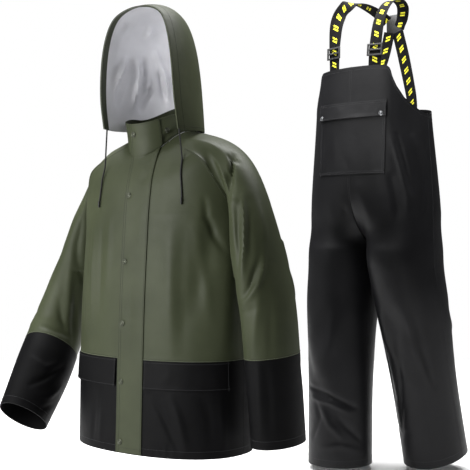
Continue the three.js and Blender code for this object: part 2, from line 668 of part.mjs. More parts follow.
// The place up the front, over body and collar, where the front is at a height.
function frontRow(z) {
  let low = 0;
  let high = RING.neck + 1;
  for (let i = 0; i < 40; i += 1) {
    const middle = (low + high) / 2;
    if (overFront(SNAP.x, middle, 0).z < z) {
      low = middle;
    } else {
      high = middle;
    }
  }
  return (low + high) / 2;
}

SNAP.heights.forEach((z, i) => {
  const row = frontRow(z);
  const point = overFront(SNAP.x, row, placketOut + (i ? -SNAP.sink : SNAP.sink));
  const outward = outwardAt((x, place) => overFront(x, place, 0), SNAP.x, row, 2, 0.01);
  addSnap(jacket, `snap_placket_${i + 1}`, SNAP.radius, SNAP.height, point, outward, GUNMETAL);
});

const collarDegrees = degreesAtX(COLLAR_RINGS, COLLAR_SNAP.x, COLLAR_SNAP.row);
const collarRing = (degrees, row) => ringPoint(COLLAR_RINGS, degrees, row);
const collarOut = outwardAt(collarRing, collarDegrees, COLLAR_SNAP.row, 0.5, 0.01);
const collarSnapAt = collarPoint(collarDegrees, COLLAR_SNAP.row, -COLLAR_SNAP.sink);
addSnap(jacket, 'snap_collar', SNAP.radius, SNAP.height, collarSnapAt, collarOut, GUNMETAL);

// Hood

// A hood point. back: 0 at the face edge, 1 at the back seam. up: 0 at the neck edge, 1 at the crown.
function hoodPoint(back, up, side) {
  const face = curvePoint(HOOD_FACE, up);
  const rear = curvePoint(HOOD_BACK, up);
  const low = curvePoint(HOOD_NECK, back);
  const high = curvePoint(HOOD_TOP, back);
  const corners = [HOOD_FACE[0], HOOD_BACK[0], HOOD_TOP[0], HOOD_TOP[HOOD_TOP.length - 1]];
  const [y, z] = [0, 1].map((k) => (1 - back) * face[k] + back * rear[k] + (1 - up) * low[k] + up * high[k]
    - (1 - back) * (1 - up) * corners[0][k] - back * (1 - up) * corners[1][k]
    - (1 - back) * up * corners[2][k] - back * up * corners[3][k]);
  const power = HOOD.round;
  const wideUp = (1 - up ** power) ** (1 / power);
  const wideBack = (1 - back ** power) ** (1 / power);
  const fuller = 0.92 + 0.08 * Math.sin(Math.PI * Math.min(1, back * 1.3));
  const x = HOOD.parting / 2 + HOOD.half * fuller * wideUp * wideBack;
  const sag = side > 0 ? HOOD.sag * (1 - up) ** 2 * (1 - back * back) : 0;
  return new THREE.Vector3(side * x, y, z - sag);
}

const easeOut = (share) => Math.sin((Math.PI / 2) * share);
const hoodSteps = steps(0, 1, 10).map(easeOut);
const hoodMiddle = new THREE.Vector3(0, -30, 130);
for (const [name, side] of Object.entries(sides)) {
  const hoodGrid = grid(hoodSteps, hoodSteps, (back, up) => hoodPoint(back, up, side));
  addPiece(hood, `hood_${name}`, clothWall(hoodGrid, { inside: hoodMiddle, side }), OLIVE);
}

// The turned band round the face opening: from one lower corner over the top to the other.
function tunnelPoint(back, turn, inward) {
  const side = turn < 0 ? -1 : 1;
  const up = easeOut(1 - Math.abs(turn));
  const plain = (a, b) => hoodPoint(Math.max(a, 0), Math.min(Math.max(b, 0), 1), side);
  const point = plain(back, up);
  if (Math.abs(turn) < 0.001) {
    return new THREE.Vector3(0, point.y, point.z - inward);
  }
  const normal = outwardAt(plain, Math.max(back, 0.02), Math.min(up, 0.98), 0.01, 0.01);
  const out = point.clone().sub(hoodMiddle);
  const sign = normal.dot(out) > 0 ? 1 : -1;
  return point.addScaledVector(normal, -sign * inward);
}

const HOOD_LENGTH = 210;
const tunnelBack = HOOD.tunnel / HOOD_LENGTH;
const tunnelIn = CLOTH + LAY + SEAM_GAP;
const tunnelTurns = steps(-1, 1, 20);
const tunnelGrid = grid([0.002, tunnelBack], tunnelTurns, (turn, back) => tunnelPoint(back, turn, tunnelIn));
addPiece(hood, 'hood_tunnel', clothWall(tunnelGrid, { inside: hoodMiddle, cloth: 1.2 }), OLIVE);

// Drawcords: out of the tunnel's lower ends, down over the chest

// The body's row where the front at x is at height z.
function chestRow(x, z) {
  let low = RING.waist;
  let high = RING.neck;
  for (let i = 0; i < 40; i += 1) {
    const middle = (low + high) / 2;
    if (bodyPoint(degreesAtX(BODY_RINGS, x, middle), middle).z < z) {
      low = middle;
    } else {
      high = middle;
    }
  }
  return (low + high) / 2;
}

// From just under the tunnel's lower end, down to lie on the chest.
function cordPath(name) {
  const start = tunnelPoint(CORD.leaves, sides[name], CLOTH);
  start.applyAxisAngle(new THREE.Vector3(0, 0, 1), radians(HOOD_TURN));
  start.z -= SEAM_GAP;
  const end = CORD_ENDS[name];
  return steps(0, 1, 12).map((share) => {
    const x = start.x + (end.x - start.x) * share;
    const z = start.z + (end.z + CORD.tip - start.z) * share;
    const row = chestRow(x, Math.min(z, -70));
    const chest = bodyPoint(degreesAtX(BODY_RINGS, x, row), row).y - CORD.radius - CORD.lie;
    return new THREE.Vector3(x, Math.min(start.y, chest), z);
  });
}

function tube(points, radius, count) {
  const circle = new THREE.Shape();
  circle.absarc(0, 0, radius, 0, 2 * Math.PI, false);
  const curve = new THREE.CatmullRomCurve3(points);
  return new THREE.ExtrudeGeometry(circle, { steps: count, curveSegments: 4, extrudePath: curve });
}

for (const name of Object.keys(sides)) {
  const path = cordPath(name);
  addPiece(jacket, `drawcord_${name}`, tidyGeometry(tube(path, CORD.radius, 24)), WEBBING, 0.8);
  const end = path[path.length - 1];
  const tip = new THREE.CylinderGeometry(CORD.tipRadius, CORD.tipRadius * 0.8, CORD.tip, 10);
  const mesh = addPiece(jacket, `cord_tip_${name}`, tip, WEBBING, 0.6);
  mesh.rotation.x = radians(90);
  mesh.position.set(end.x, end.y - CORD.tipLie, end.z - CORD.tip / 2 - SEAM_GAP);
}

function tidyGeometry(geometry) {
  geometry.deleteAttribute('uv');
  geometry.deleteAttribute('normal');
  return mergeVertices(geometry, 1e-3);
}

// Bib overalls

const LEG_ROWS = BIB_LEFT.length;
const TOP_ROW = LEG_ROWS + BIB_BODY.length - 1;

function legPoint(table, share, face, place) {
  const held = Math.min(place, LEG_ROWS - 1);
  const side = Math.sign(table[0].x);
  const angle = Math.PI * (1 - share);
  const deep = smoothAt(table, face < 0 ? 'front' : 'back', held);
  const zIn = smoothAt(table, 'zIn', held);
  const zOut = smoothAt(table, 'zOut', held);
  const y = smoothAt(table, 'y', held) + face * deep * Math.sin(angle);
  const x = smoothAt(table, 'x', held) + side * smoothAt(table, 'across', held) * Math.cos(angle);
  const tilt = smoothAt(table, 'zTilt', held) * face * Math.sin(angle);
  return new THREE.Vector3(x, y, zIn + (zOut - zIn) * share + tilt);
}

function bibTop(degrees) {
  const held = Math.min(Math.max(degrees, 0), 90);
  const above = Math.max(1, BIB_TOP.findIndex((row) => row.degrees >= held));
  const [low, high] = [BIB_TOP[above - 1], BIB_TOP[above]];
  return low.z + ((high.z - low.z) * (held - low.degrees)) / (high.degrees - low.degrees);
}

// A plain bib point. share: 0 at the inseam or centre seam, 1 at the side seam. face: -1 front, 1 back.
function bibPlain(table, share, face, place) {
  const side = Math.sign(table[0].x);
  if (place <= LEG_ROWS - 1) {
    return legPoint(table, share, face, place);
  }
  const row = place - LEG_ROWS;
  const start = legPoint(table, share, face, LEG_ROWS - 1);
  if (row < 0) {
    return start.lerp(bibPlain(table, share, face, LEG_ROWS), row + 1);
  }
  const angle = (Math.PI / 2) * share;
  const power = 2 / BIB_SQUARE;
  const deep = smoothAt(BIB_BODY, face < 0 ? 'bodyFront' : 'bodyBack', row);
  const x = side * smoothAt(BIB_BODY, 'half', row) * Math.sin(angle) ** power;
  const y = face * deep * Math.cos(angle) ** power;
  const torso = smoothAt(BIB_BODY, 'torso', row);
  const centre = smoothAt(BIB_BODY, face < 0 ? 'front' : 'back', row);
  const level = centre + (smoothAt(BIB_BODY, 'side', row) - centre) * share * share;
  const last = BIB_BODY.length - 1;
  const nearTop = Math.min(1, Math.max(0, (row - 4) / (last - 4)));
  const topHere = face < 0 ? bibTop(90 * share) : level;
  const topPlain = centreAtTop(face, share);
  const z = level + (topHere - topPlain) * nearTop * (face < 0 ? 1 : 0);
  return new THREE.Vector3(
    x * torso + start.x * (1 - torso),
    y * torso + start.y * (1 - torso),
    z,
  );
}

function centreAtTop(face, share) {
  const top = BIB_BODY[BIB_BODY.length - 1];
  const centre = face < 0 ? top.front : top.back;
  return centre + (top.side - centre) * share * share;
}

const BIB_SCALE = { around: 320, row: 110 };

function bibPoint(table, share, face, place, out = 0) {
  const plain = (a, b) => bibPlain(table, a, face, b);
  const heldShare = Math.min(Math.max(share, 0.01), 0.99);
  const heldPlace = Math.min(Math.max(place, 0.01), TOP_ROW - 0.01);
  const normal = outwardAt(plain, heldShare, heldPlace, 0.005, 0.005);
  const centreX = table[0].x * 0.9;
  const centreY = smoothAt(table, 'y', Math.min(place, LEG_ROWS - 1));
  const point = plain(share, place);
  const sign = normal.x * (point.x - centreX) + normal.y * (point.y - centreY) > 0 ? 1 : -1;
  const edges = Math.sin(Math.PI * share);
  const fold = foldDepth(BIB_FOLDS, share, place, BIB_SCALE.around, BIB_SCALE.row) * edges;
  return point.addScaledVector(normal, sign * (fold + out));
}

const bibRows = [...steps(0, LEG_ROWS - 1, 9), ...steps(LEG_ROWS, TOP_ROW, 13)];
const bibShrink = 0.0009;
for (const [name, table] of Object.entries({ left: BIB_LEFT, right: BIB_RIGHT })) {
  for (const [faceName, face] of Object.entries({ front: -1, back: 1 })) {
    const panel = (out) => grid(bibRows, BIB_COLUMNS, (column, row) => {
      const share = Math.min(Math.max(column, bibShrink), 1 - bibShrink);
      const point = bibPoint(table, share, face, row, out);
      point.x += sides[name] * SEAM_GAP;
      return point;
    });
    const inside = new THREE.Vector3(table[4].x, 0, -300);
    const walls = { inside, side: sides[name], lining: panel(-CLOTH) };
    addPiece(bib, `bib_${faceName}_${name}`, clothWall(panel(0), walls), BLACK);
  }
}

// A point over the bib's front at x and height z, moved out.
function overBib(x, z, out) {
  const table = x < 0 ? BIB_RIGHT : BIB_LEFT;
  let low = LEG_ROWS + 3;
  let high = TOP_ROW;
  let share = 0;
  for (let i = 0; i < 40; i += 1) {
    const middle = (low + high) / 2;
    const half = smoothAt(BIB_BODY, 'half', middle - LEG_ROWS);
    share = Math.asin(Math.min(1, Math.abs(x) / half) ** (BIB_SQUARE / 2)) / (Math.PI / 2);
    if (bibPlain(table, share, -1, middle).z < z) {
      low = middle;
    } else {
      high = middle;
    }
  }
  return bibPoint(table, Math.max(share, 0.0005), -1, (low + high) / 2, out);
}

const bibMiddle = new THREE.Vector3(0, 0, 0);
const pocketGrid = grid(
  steps(POCKET.bottom, POCKET.top, 7),
  steps(-POCKET.half, POCKET.half, 10),
  (x, z) => overBib(x, z, CLOTH + LAY + SEAM_GAP),
);
addPiece(bib, 'bib_pocket', clothWall(pocketGrid, { inside: bibMiddle }), BLACK);
const flapOut = 2 * CLOTH + 2 * LAY + 0.2;
const flapLift = (z) => (POCKET.flapLift * (POCKET.flapTop - z)) / (POCKET.flapTop - POCKET.flapBottom);
const flapHalf = POCKET.half + 1;
const bibFlapGrid = grid(
  steps(POCKET.flapBottom, POCKET.flapTop, 2),
  steps(-flapHalf, flapHalf, 10),
  (x, z) => overBib(x, z, flapOut + flapLift(z)),
);
addPiece(bib, 'bib_pocket_flap', clothWall(bibFlapGrid, { inside: bibMiddle }), BLACK);
for (const [name, side] of Object.entries(sides)) {
  const point = overBib(side * FLAP_SNAP.x, FLAP_SNAP.z, flapOut + flapLift(FLAP_SNAP.z) + 0.1);
  const outward = point.clone().sub(overBib(side * FLAP_SNAP.x, FLAP_SNAP.z, flapOut)).normalize();
  addSnap(bib, `snap_flap_${name}`, SNAP.radius, SNAP.height, point, outward, SILVER);
}

// Braces

// Where a strap's middle is at a place of its table, the way it runs, lies across and faces.
function strapFrame(table, place) {
  const at = (p) => new THREE.Vector3(...['x', 'y', 'z'].map((key) => smoothAt(table, key, p)));
  const run = at(Math.min(place + 0.02, table.length - 1)).sub(at(Math.max(place - 0.02, 0))).normalize();
  const across = new THREE.Vector3(1, 0, 0);
  across.addScaledVector(run, -across.dot(run)).normalize();
  across.applyAxisAngle(run, radians(smoothAt(table, 'turn', place)));
  return { centre: at(place), run, across, out: new THREE.Vector3().crossVectors(across, run) };
}

// A flat strap through the rows of a table. turn twists it about its own run, in degrees.
function strap(table, stepsPerRow) {
  const count = (table.length - 1) * stepsPerRow;
  const points = [];
  const faces = [];
  for (let i = 0; i <= count; i += 1) {
    const { centre, across, out } = strapFrame(table, i / stepsPerRow);
    [[-1, -1], [1, -1], [1, 1], [-1, 1]].forEach(([a, b]) => points.push(centre.clone()
      .addScaledVector(across, (a * STRAP.width) / 2)
      .addScaledVector(out, (b * STRAP.cloth) / 2)));
    if (i > 0) {
      for (let k = 0; k < 4; k += 1) {
        const a = 4 * (i - 1) + k;
        const b = 4 * (i - 1) + ((k + 1) % 4);
        faces.push(a, b, b + 4);
        faces.push(a, b + 4, a + 4);
      }
    }
  }
  const end = 4 * count;
  faces.push(0, 3, 2, 0, 2, 1, end, end + 1, end + 2, end, end + 2, end + 3);
  return closedGeometry(points, faces);
}

addPiece(bib, 'brace_left', strap(BRACE_LEFT, 3), WEBBING, 0.8);
addPiece(bib, 'brace_right', strap(BRACE_RIGHT, 4), WEBBING, 0.8);
addPiece(bib, 'brace_back_left', strap(BRACE_BACK_LEFT, 3), WEBBING, 0.8);
addPiece(bib, 'brace_back_right', strap(BRACE_BACK_RIGHT, 3), WEBBING, 0.8);

function patchGeometry() {
  const shape = new THREE.Shape();
  const { half, tall } = PATCH;
  const corners = [
    [-half, tall * 0.5], [-half * 0.6, tall], [half * 0.6, tall], [half, tall * 0.5],
    [half, -tall * 0.6], [half * 0.5, -tall], [-half * 0.5, -tall], [-half, -tall * 0.6],
  ];
  shape.setFromPoints(corners.map(([x, y]) => new THREE.Vector2(x, y)));
  return new THREE.ExtrudeGeometry(shape, { depth: PATCH.thick, bevelEnabled: false });
}

const patch = addPiece(bib, 'brace_patch', tidyGeometry(patchGeometry()), WEBBING, 0.6);
patch.rotation.x = radians(90);
patch.position.set(0, PATCH.y, PATCH.z);

function sliderGeometry() {
  const { wide, tall, bar, thick } = SLIDER;
  const shape = new THREE.Shape();
  shape.moveTo(-wide / 2, -tall / 2);
  shape.lineTo(wide / 2, -tall / 2);
  shape.lineTo(wide / 2, tall / 2);
  shape.lineTo(-wide / 2, tall / 2);
  for (const low of [-tall / 2 + bar, bar / 2]) {
    const slot = new THREE.Path();
    const high = low + tall / 2 - 1.5 * bar;
    slot.moveTo(-wide / 2 + bar, low);
    slot.lineTo(-wide / 2 + bar, high);
    slot.lineTo(wide / 2 - bar, high);
    slot.lineTo(wide / 2 - bar, low);
    shape.holes.push(slot);
  }
  return new THREE.ExtrudeGeometry(shape, { depth: thick, bevelEnabled: false });
}

for (const [name, table] of Object.entries({ left: BRACE_LEFT, right: BRACE_RIGHT })) {
  const slider = addPiece(bib, `slider_${name}`, tidyGeometry(sliderGeometry()), WEBBING, 0.4);
  const { centre, run, across, out } = strapFrame(table, SLIDER.place);
  slider.quaternion.setFromRotationMatrix(new THREE.Matrix4().makeBasis(across, run, out));
  slider.position.copy(centre).addScaledVector(out, STRAP.cloth / 2 + SLIDER.clear[name]);
}

export default suit;
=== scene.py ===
"""Rain suit: a hooded jacket and bib overalls of coated cloth, filled out and hollow.

The garments hang as worn, each turned so that its front faces the viewer's left.
Sizes are in millimetres in the tables and in metres on the finished meshes.
"""

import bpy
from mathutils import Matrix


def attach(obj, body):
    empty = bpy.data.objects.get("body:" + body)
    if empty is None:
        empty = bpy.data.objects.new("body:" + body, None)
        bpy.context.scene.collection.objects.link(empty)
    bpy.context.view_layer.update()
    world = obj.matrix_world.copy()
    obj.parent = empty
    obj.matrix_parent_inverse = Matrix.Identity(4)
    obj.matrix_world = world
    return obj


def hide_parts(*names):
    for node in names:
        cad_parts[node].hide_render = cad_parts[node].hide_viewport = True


bl_info = {
    "name": "Rain Suit",
    "version": (1, 0, 0),
    "blender": (4, 5, 0),
    "location": "3D Viewport > Sidebar > Rain Suit",
    "description": "Builds a hooded rain jacket and bib overalls with seams, snaps and braces",
    "category": "Object",
}

import math

import bmesh
import bpy
import numpy as np
from mathutils import Matrix, Vector

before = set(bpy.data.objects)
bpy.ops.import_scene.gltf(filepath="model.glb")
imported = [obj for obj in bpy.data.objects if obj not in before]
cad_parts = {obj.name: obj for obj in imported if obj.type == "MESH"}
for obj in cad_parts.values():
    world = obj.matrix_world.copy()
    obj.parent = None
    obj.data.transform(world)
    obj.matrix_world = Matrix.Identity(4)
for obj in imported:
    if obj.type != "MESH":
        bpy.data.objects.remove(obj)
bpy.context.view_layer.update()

MM = 0.001

# How each garment stands in the shared frame: degrees about Z and where its middle is.
JACKET_TURN = -35.0
HOOD_TURN = -30.0
BIB_TURN = -43.0
BIB_PLACE = (609.0, 475.0)
SHOULDER_DROP = 0.13
UNDERARM_Z = -230.0


def columns(names, *rows):
    """A table as named columns of numbers."""
    return {name: np.array(column, float) for name, column in zip(names.split(), zip(*rows))}


# Rings of the jacket's body from the hem up to the neck: heights at centre front, side and back,
# half width and depths, how square, and the degrees from centre front and back where a panel ends.
BODY = columns(
    "z_front z_side z_back half front back square seam_front seam_back",
    (-794, -794, -794, 248, 162, 150, 2.3, 90, 90),
    (-561, -561, -561, 247, 155, 147, 2.3, 90, 90),
    (-400, -400, -400, 246, 148, 144, 2.3, 90, 90),
    (-230, -230, -230, 243, 136, 140, 2.25, 90, 90),
    (-196, -176, -178, 241, 133, 139, 2.2, 75, 74),
    (-160, -100, -114, 236, 128, 134, 2.2, 60, 58),
    (-122, -26, -55, 230, 121, 122, 2.2, 49, 46),
    (-88, 3, -10, 166, 111, 100, 2.1, 47, 43),
    (-62, 9, 20, 84, 102, 72, 2.1, 50, 48),
)
HEM_ROW, COLOUR_ROW, WAIST_ROW, UNDERARM_ROW, SHOULDER_ROW, NECK_ROW = 0, 1, 2, 3, 6, 8

COLLAR = columns(
    "z_front z_side z_back half front back square",
    (-61, 10, 21, 84, 102, 72, 2.1),
    (-18, 33, 54, 86, 107, 75, 2.1),
    (24, 56, 86, 90, 113, 79, 2.1),
)

# Sleeve stations down the arm: the ring's middle and its half sizes.
SLEEVES = {
    "left": columns(
        "x y z across deep",
        (312, -38, -292, 57, 88),
        (338, -30, -422, 59, 85),
        (346, -22, -541, 60, 82),
        (351, -14, -648, 60, 81),
        (355, -8, -751, 60, 80),
    ),
    "right": columns(
        "x y z across deep",
        (-308, 30, -292, 55, 74),
        (-358, 32, -400, 60, 78),
        (-394, 12, -512, 66, 82),
        (-380, -62, -622, 70, 84),
        (-365, -152, -742, 60, 76),
    ),
}
SLEEVE_COLOUR_ROW = {"left": 2.0, "right": 2.55}
SIDES = {"left": 1, "right": -1}

# The hood seen from the side, forward is negative: face edge, crown, back seam and neck edge.
HOOD_MIDDLE = (0.0, -30.0, 130.0)
HOOD_HALF, HOOD_ROUND, HOOD_PARTING, HOOD_SAG, HOOD_LENGTH = 124.0, 2.3, 0.3, 10.4, 210.0
HOOD_FACE = columns("y z", (-112, 16), (-127, 90), (-131, 170), (-130, 235), (-125, 286), (-116, 318))
HOOD_TOP = columns("y z", (-116, 318), (-80, 328), (-40, 331), (6, 321), (46, 294))
HOOD_BACK = columns("y z", (98, 14), (99, 70), (95, 140), (87, 205), (72, 258), (46, 294))
HOOD_NECK = columns("y z", (-112, 16), (-60, 15), (0, 17), (60, 16), (98, 14))

# Rings of a bib leg from the hem up: heights at the inseam and the side, how much higher the back is,
# the ring's middle and its half sizes.
LEGS = {
    "left": columns(
        "z_in z_out z_tilt x y across front back",
        (-952, -930, 26, 117, 164, 98, 98, 98),
        (-800, -790, 16, 112, 131, 98, 99, 99),
        (-680, -675, 8, 112, 98, 98, 101, 101),
        (-550, -550, 0, 111, 64, 101, 108, 108),
        (-430, -430, 0, 110, 30, 104, 118, 118),
        (-330, -345, 0, 106.4, 8, 104, 128, 132),
    ),
    "right": columns(
        "z_in z_out z_tilt x y across front back",
        (-967, -967, 0, -120, -12, 98, 103, 103),
        (-800, -800, 0, -118, -13, 98, 104, 104),
        (-680, -680, 0, -116, -13, 98, 106, 106),
        (-550, -550, 0, -114, -11, 99, 110, 110),
        (-430, -430, 0, -111, -7, 103, 117, 118),
        (-330, -345, 0, -106.4, -2, 104, 128, 132),
    ),
}
LEG_ROWS = 6
# How far the legs' front and back are flatter than an oval near the crotch.
LEG_FLAT = 0.32
# The body above the legs: heights at centre front, side and back, how far it has the body's ring
# in place of the legs' own, and that ring's half width and depths.
BIB = columns(
    "z_front z_side z_back torso half front back",
    (-297, -315, -297, 0, 209, 126, 146),
    (-290, -288, -286, 0.1, 209, 126, 146),
    (-268, -256, -258, 0.34, 209, 126, 146),
    (-222, -214, -206, 0.7, 211, 128, 144),
    (-150, -150, -150, 0.94, 211, 131, 138),
    (-60, -70, -70, 1, 206, 131, 126),
    (50, 10, 10, 1, 200, 127, 110),
    (150, 62, 76, 1, 196, 123, 97),
    (246, 100, 132, 1, 193, 120, 90),
)
BIB_TOP_ROW = LEG_ROWS + 8
BIB_SQUARE = 2.3
BIB_EDGE = columns(
    "degrees z",
    (0, 246), (22, 245), (34, 242), (38, 232), (40.5, 206),
    (45, 180), (54, 146), (66, 121), (78, 107), (90, 101),
)
POCKET_HALF, POCKET_TOP, POCKET_BOTTOM = 118.0, 136.0, -75.0
FLAP_TOP, FLAP_BOTTOM, FLAP_LIFT = 141.0, 92.0, 4.0

STRAP_WIDTH, STRAP_THICK = 40.0, 2.0
STRAPS = {
    "brace_right": columns(
        "x y z turn",
        (-66, -111.6, 205, -9), (-67, -110.6, 262, -8), (-69, -106, 330, 4),
        (-70, -94, 392, 30), (-68, -64, 438, 78), (-64, -24, 462, 20),
        (-56, 22, 462, 0), (-40, 66, 446, -8), (-16, 98, 418, -12),
    ),
    "brace_left": columns(
        "x y z turn",
        (79, -108, 205, 11), (79, -107.5, 262, 10), (80, -103, 320, 4),
        (80, -85, 384, 0), (78, -44, 436, 0), (72, 16, 458, 0),
        (60, 66, 450, 4), (40, 96, 424, 8), (22, 106, 396, 10),
    ),
    "brace_back_right": columns(
        "x y z turn",
        (-14, 105, 384, 0), (-36, 105, 305, 0), (-68, 91, 210, -8),
        (-86, 80.3, 150, -12), (-91, 75.3, 92, -12),
    ),
    "brace_back_left": columns(
        "x y z turn",
        (14, 109, 384, 0), (36, 108, 305, 0), (68, 92, 210, 8),
        (86, 80.3, 150, 12), (91, 75.3, 92, 12),
    ),
}

SNAP_X = -11.0
SNAP_HEIGHTS = (-2, -156, -321, -474, -618, -766)
COLLAR_SNAP_X, COLLAR_SNAP_ROW = 65.0, 0.9
FLAP_SNAP_X, FLAP_SNAP_Z = 106.0, 100.0
PLACKET_FREE, PLACKET_SEWN = -24.0, 55.0
# How far the outer layers lie in front of the cloth that they are sewn to.
PLACKET_OUT, JACKET_FLAP_OUT, POCKET_OUT, BIB_FLAP_OUT = 2.8, 2.8, 2.7, 5.0
# How much the free lower edge of a jacket flap stands off, and how wide a degree is there.
JACKET_FLAP_LIFT, DEGREE_WIDE = 3, 3.4
JACKET_FLAP_HEIGHTS = (-630, -563)
JACKET_FLAP_STARTS = {"left": 60.0, "right": 30.0}
JACKET_FLAP_END = 74
# How far a snap stands out of the placket, and how much more the one beside the collar does.
SNAP_OUT, TOP_SNAP_LIFT = 2.7, 0.4
# The hollows that snaps press into the placket and the bib's flap: wide and deep.
SNAP_HOLLOW, FLAP_SNAP_HOLLOW = (9, 0.81), (8, 0.8)
TUNNEL_WIDE, TUNNEL_IN, TUNNEL_THICK = 25, 2.7, 1.2
CORD_RADIUS, CORD_TIP = 2.0, 16.0
CORD_ENDS = {"left": (143.0, -180.0), "right": (-119.0, -184.0)}
CORD_LEAVES = 0.08

# Creases: wide and deep in millimetres (deep below zero is a trough), then the points that a crease
# runs through, each (around, row) in the piece's own degrees or shares and its rows.
BODY_CREASES = [
    (26, -7, (62, 3.2), (40, 1.6)),
    (30, 7, (76, 2.9), (70, 1.2)),
    (34, 5, (28, 3.2), (24, 1.2)),
    (26, -6, (-66, 3.4), (-46, 1.4)),
    (34, 5, (-30, 3.0), (-34, 1.2)),
    (32, -8, (120, 3.6), (142, 1.4)),
    (32, -9, (-122, 3.6), (-146, 1.2)),
    (40, 7, (176, 3.4), (168, 0.3)),
]
BODY_FINE = [
    (12, 2.5, (69.5, 5.4), (65, 4.8)),
    (9, -6.0, (52, 4.2), (53, 3.2), (60, 2.8), (68, 2.6)),
    (15, 3.4, (45.5, 3.0), (47.5, 2.6), (53.5, 2.1), (57, 1.6)),
    (13, 2.4, (26.5, 2.9), (27.5, 2.1), (29, 1.1)),
    (13, -1.6, (35, 2.9), (35, 2.1), (37, 1.1)),
    (9, -4.2, (16, 0.62), (24.5, 0.4), (34, 0.1)),
    (10, 3.6, (29, 0.6), (34.5, 0.4), (40, 0.1)),
    (12, -3.0, (53, 0.6), (57, 0.4), (58.5, 0.1)),
    (10, 2.4, (66, 0.6), (69, 0.3), (71, 0.0)),
    (5, -1.4, (19, 0.14), (19.5, 0.0)),
    (5, -1.4, (23, 0.12), (23.5, 0.0)),
    (5, -1.4, (28, 0.14), (28.5, 0.0)),
    (10, 3.0, (-31, 2.9), (-28, 1.5)),
    (9, -2.6, (-22, 2.9), (-20, 1.7)),
    (11, 2.4, (-15, 3.1), (-14.5, 2.1)),
    (9, -2.8, (-22, 0.6), (-24.5, 0.1)),
    (9, 2.8, (-14.5, 0.6), (-17, 0.1)),
    (9, -3.2, (-70, 4.2), (-64, 3.5), (-56, 2.9)),
    (10, -2.4, (108, 4.2), (114, 3.5), (124, 2.8), (128, 2.0)),
    (10, 2.6, (118, 4.0), (126, 3.3), (134, 2.6)),
    (12, -2.6, (150, 3.4), (154, 2.4), (152, 1.4)),
    (12, 2.4, (162, 2.8), (164, 1.9), (160, 1.1)),
    (10, -3.0, (-110, 4.2), (-116, 3.5), (-128, 2.7)),
    (10, 2.4, (-122, 3.9), (-130, 3.1), (-138, 2.5)),
    (12, -2.6, (-154, 3.3), (-150, 2.2), (-154, 1.3)),
    (13, -2.2, (172, 2.2), (178, 1.6), (176, 1.1)),
    (10, -3.0, (140, 0.8), (146, 0.4), (144, 0.0)),
    (10, 2.6, (152, 0.8), (158, 0.3), (156, 0.0)),
    (10, -2.8, (-150, 0.7), (-144, 0.3), (-146, 0.0)),
]
COLLAR_CREASES = [
    (6, -2.4, (38, 1.8), (27.5, 1.3)),
    (6, -2.6, (62, 0.5), (41.5, 0.5), (31, 0.2)),
    (6, 2.0, (56, 0.9), (42, 0.8)),
    (7, -2.2, (150, 1.7), (160, 0.9)),
    (7, -2.0, (-130, 1.6), (-140, 0.7)),
]
PLACKET_CREASES = [
    (12, 1.5, (10, 7.4), (30, 6.6)),
    (12, -1.4, (44, 6.4), (20, 5.9)),
    (16, 1.2, (40, 4.6), (34, 2.6)),
    (16, -1.2, (8, 2.2), (18, 1.0)),
]
JACKET_FLAP_CREASES = [
    (14, 1.6, (24, 0.72), (30, 0.98)),
    (14, -1.4, (44, 0.72), (48, 0.96)),
    (15, 1.5, (62, 0.72), (60, 0.95)),
]
BIB_POCKET_CREASES = [
    (18, 1.4, (-60, 60), (-50, -40)),
    (18, -1.2, (20, 70), (30, -20)),
    (16, 1.3, (80, 40), (70, -50)),
    (14, -1.2, (-20, -20), (10, -60)),
]
BIB_FLAP_CREASES = [
    (20, 1.2, (-40, 92), (-30, 130)),
    (18, -1.2, (30, 92), (44, 124)),
]
SLEEVE_CREASES = [
    (22, -9, (0.2, -0.5), (0.14, 0.4)),
    (24, 5, (0.62, -0.3), (0.66, 0.8)),
    (22, -6, (0.66, 0.5), (0.88, 1.5)),
    (24, -6, (0.78, -0.4), (0.8, 0.4)),
]
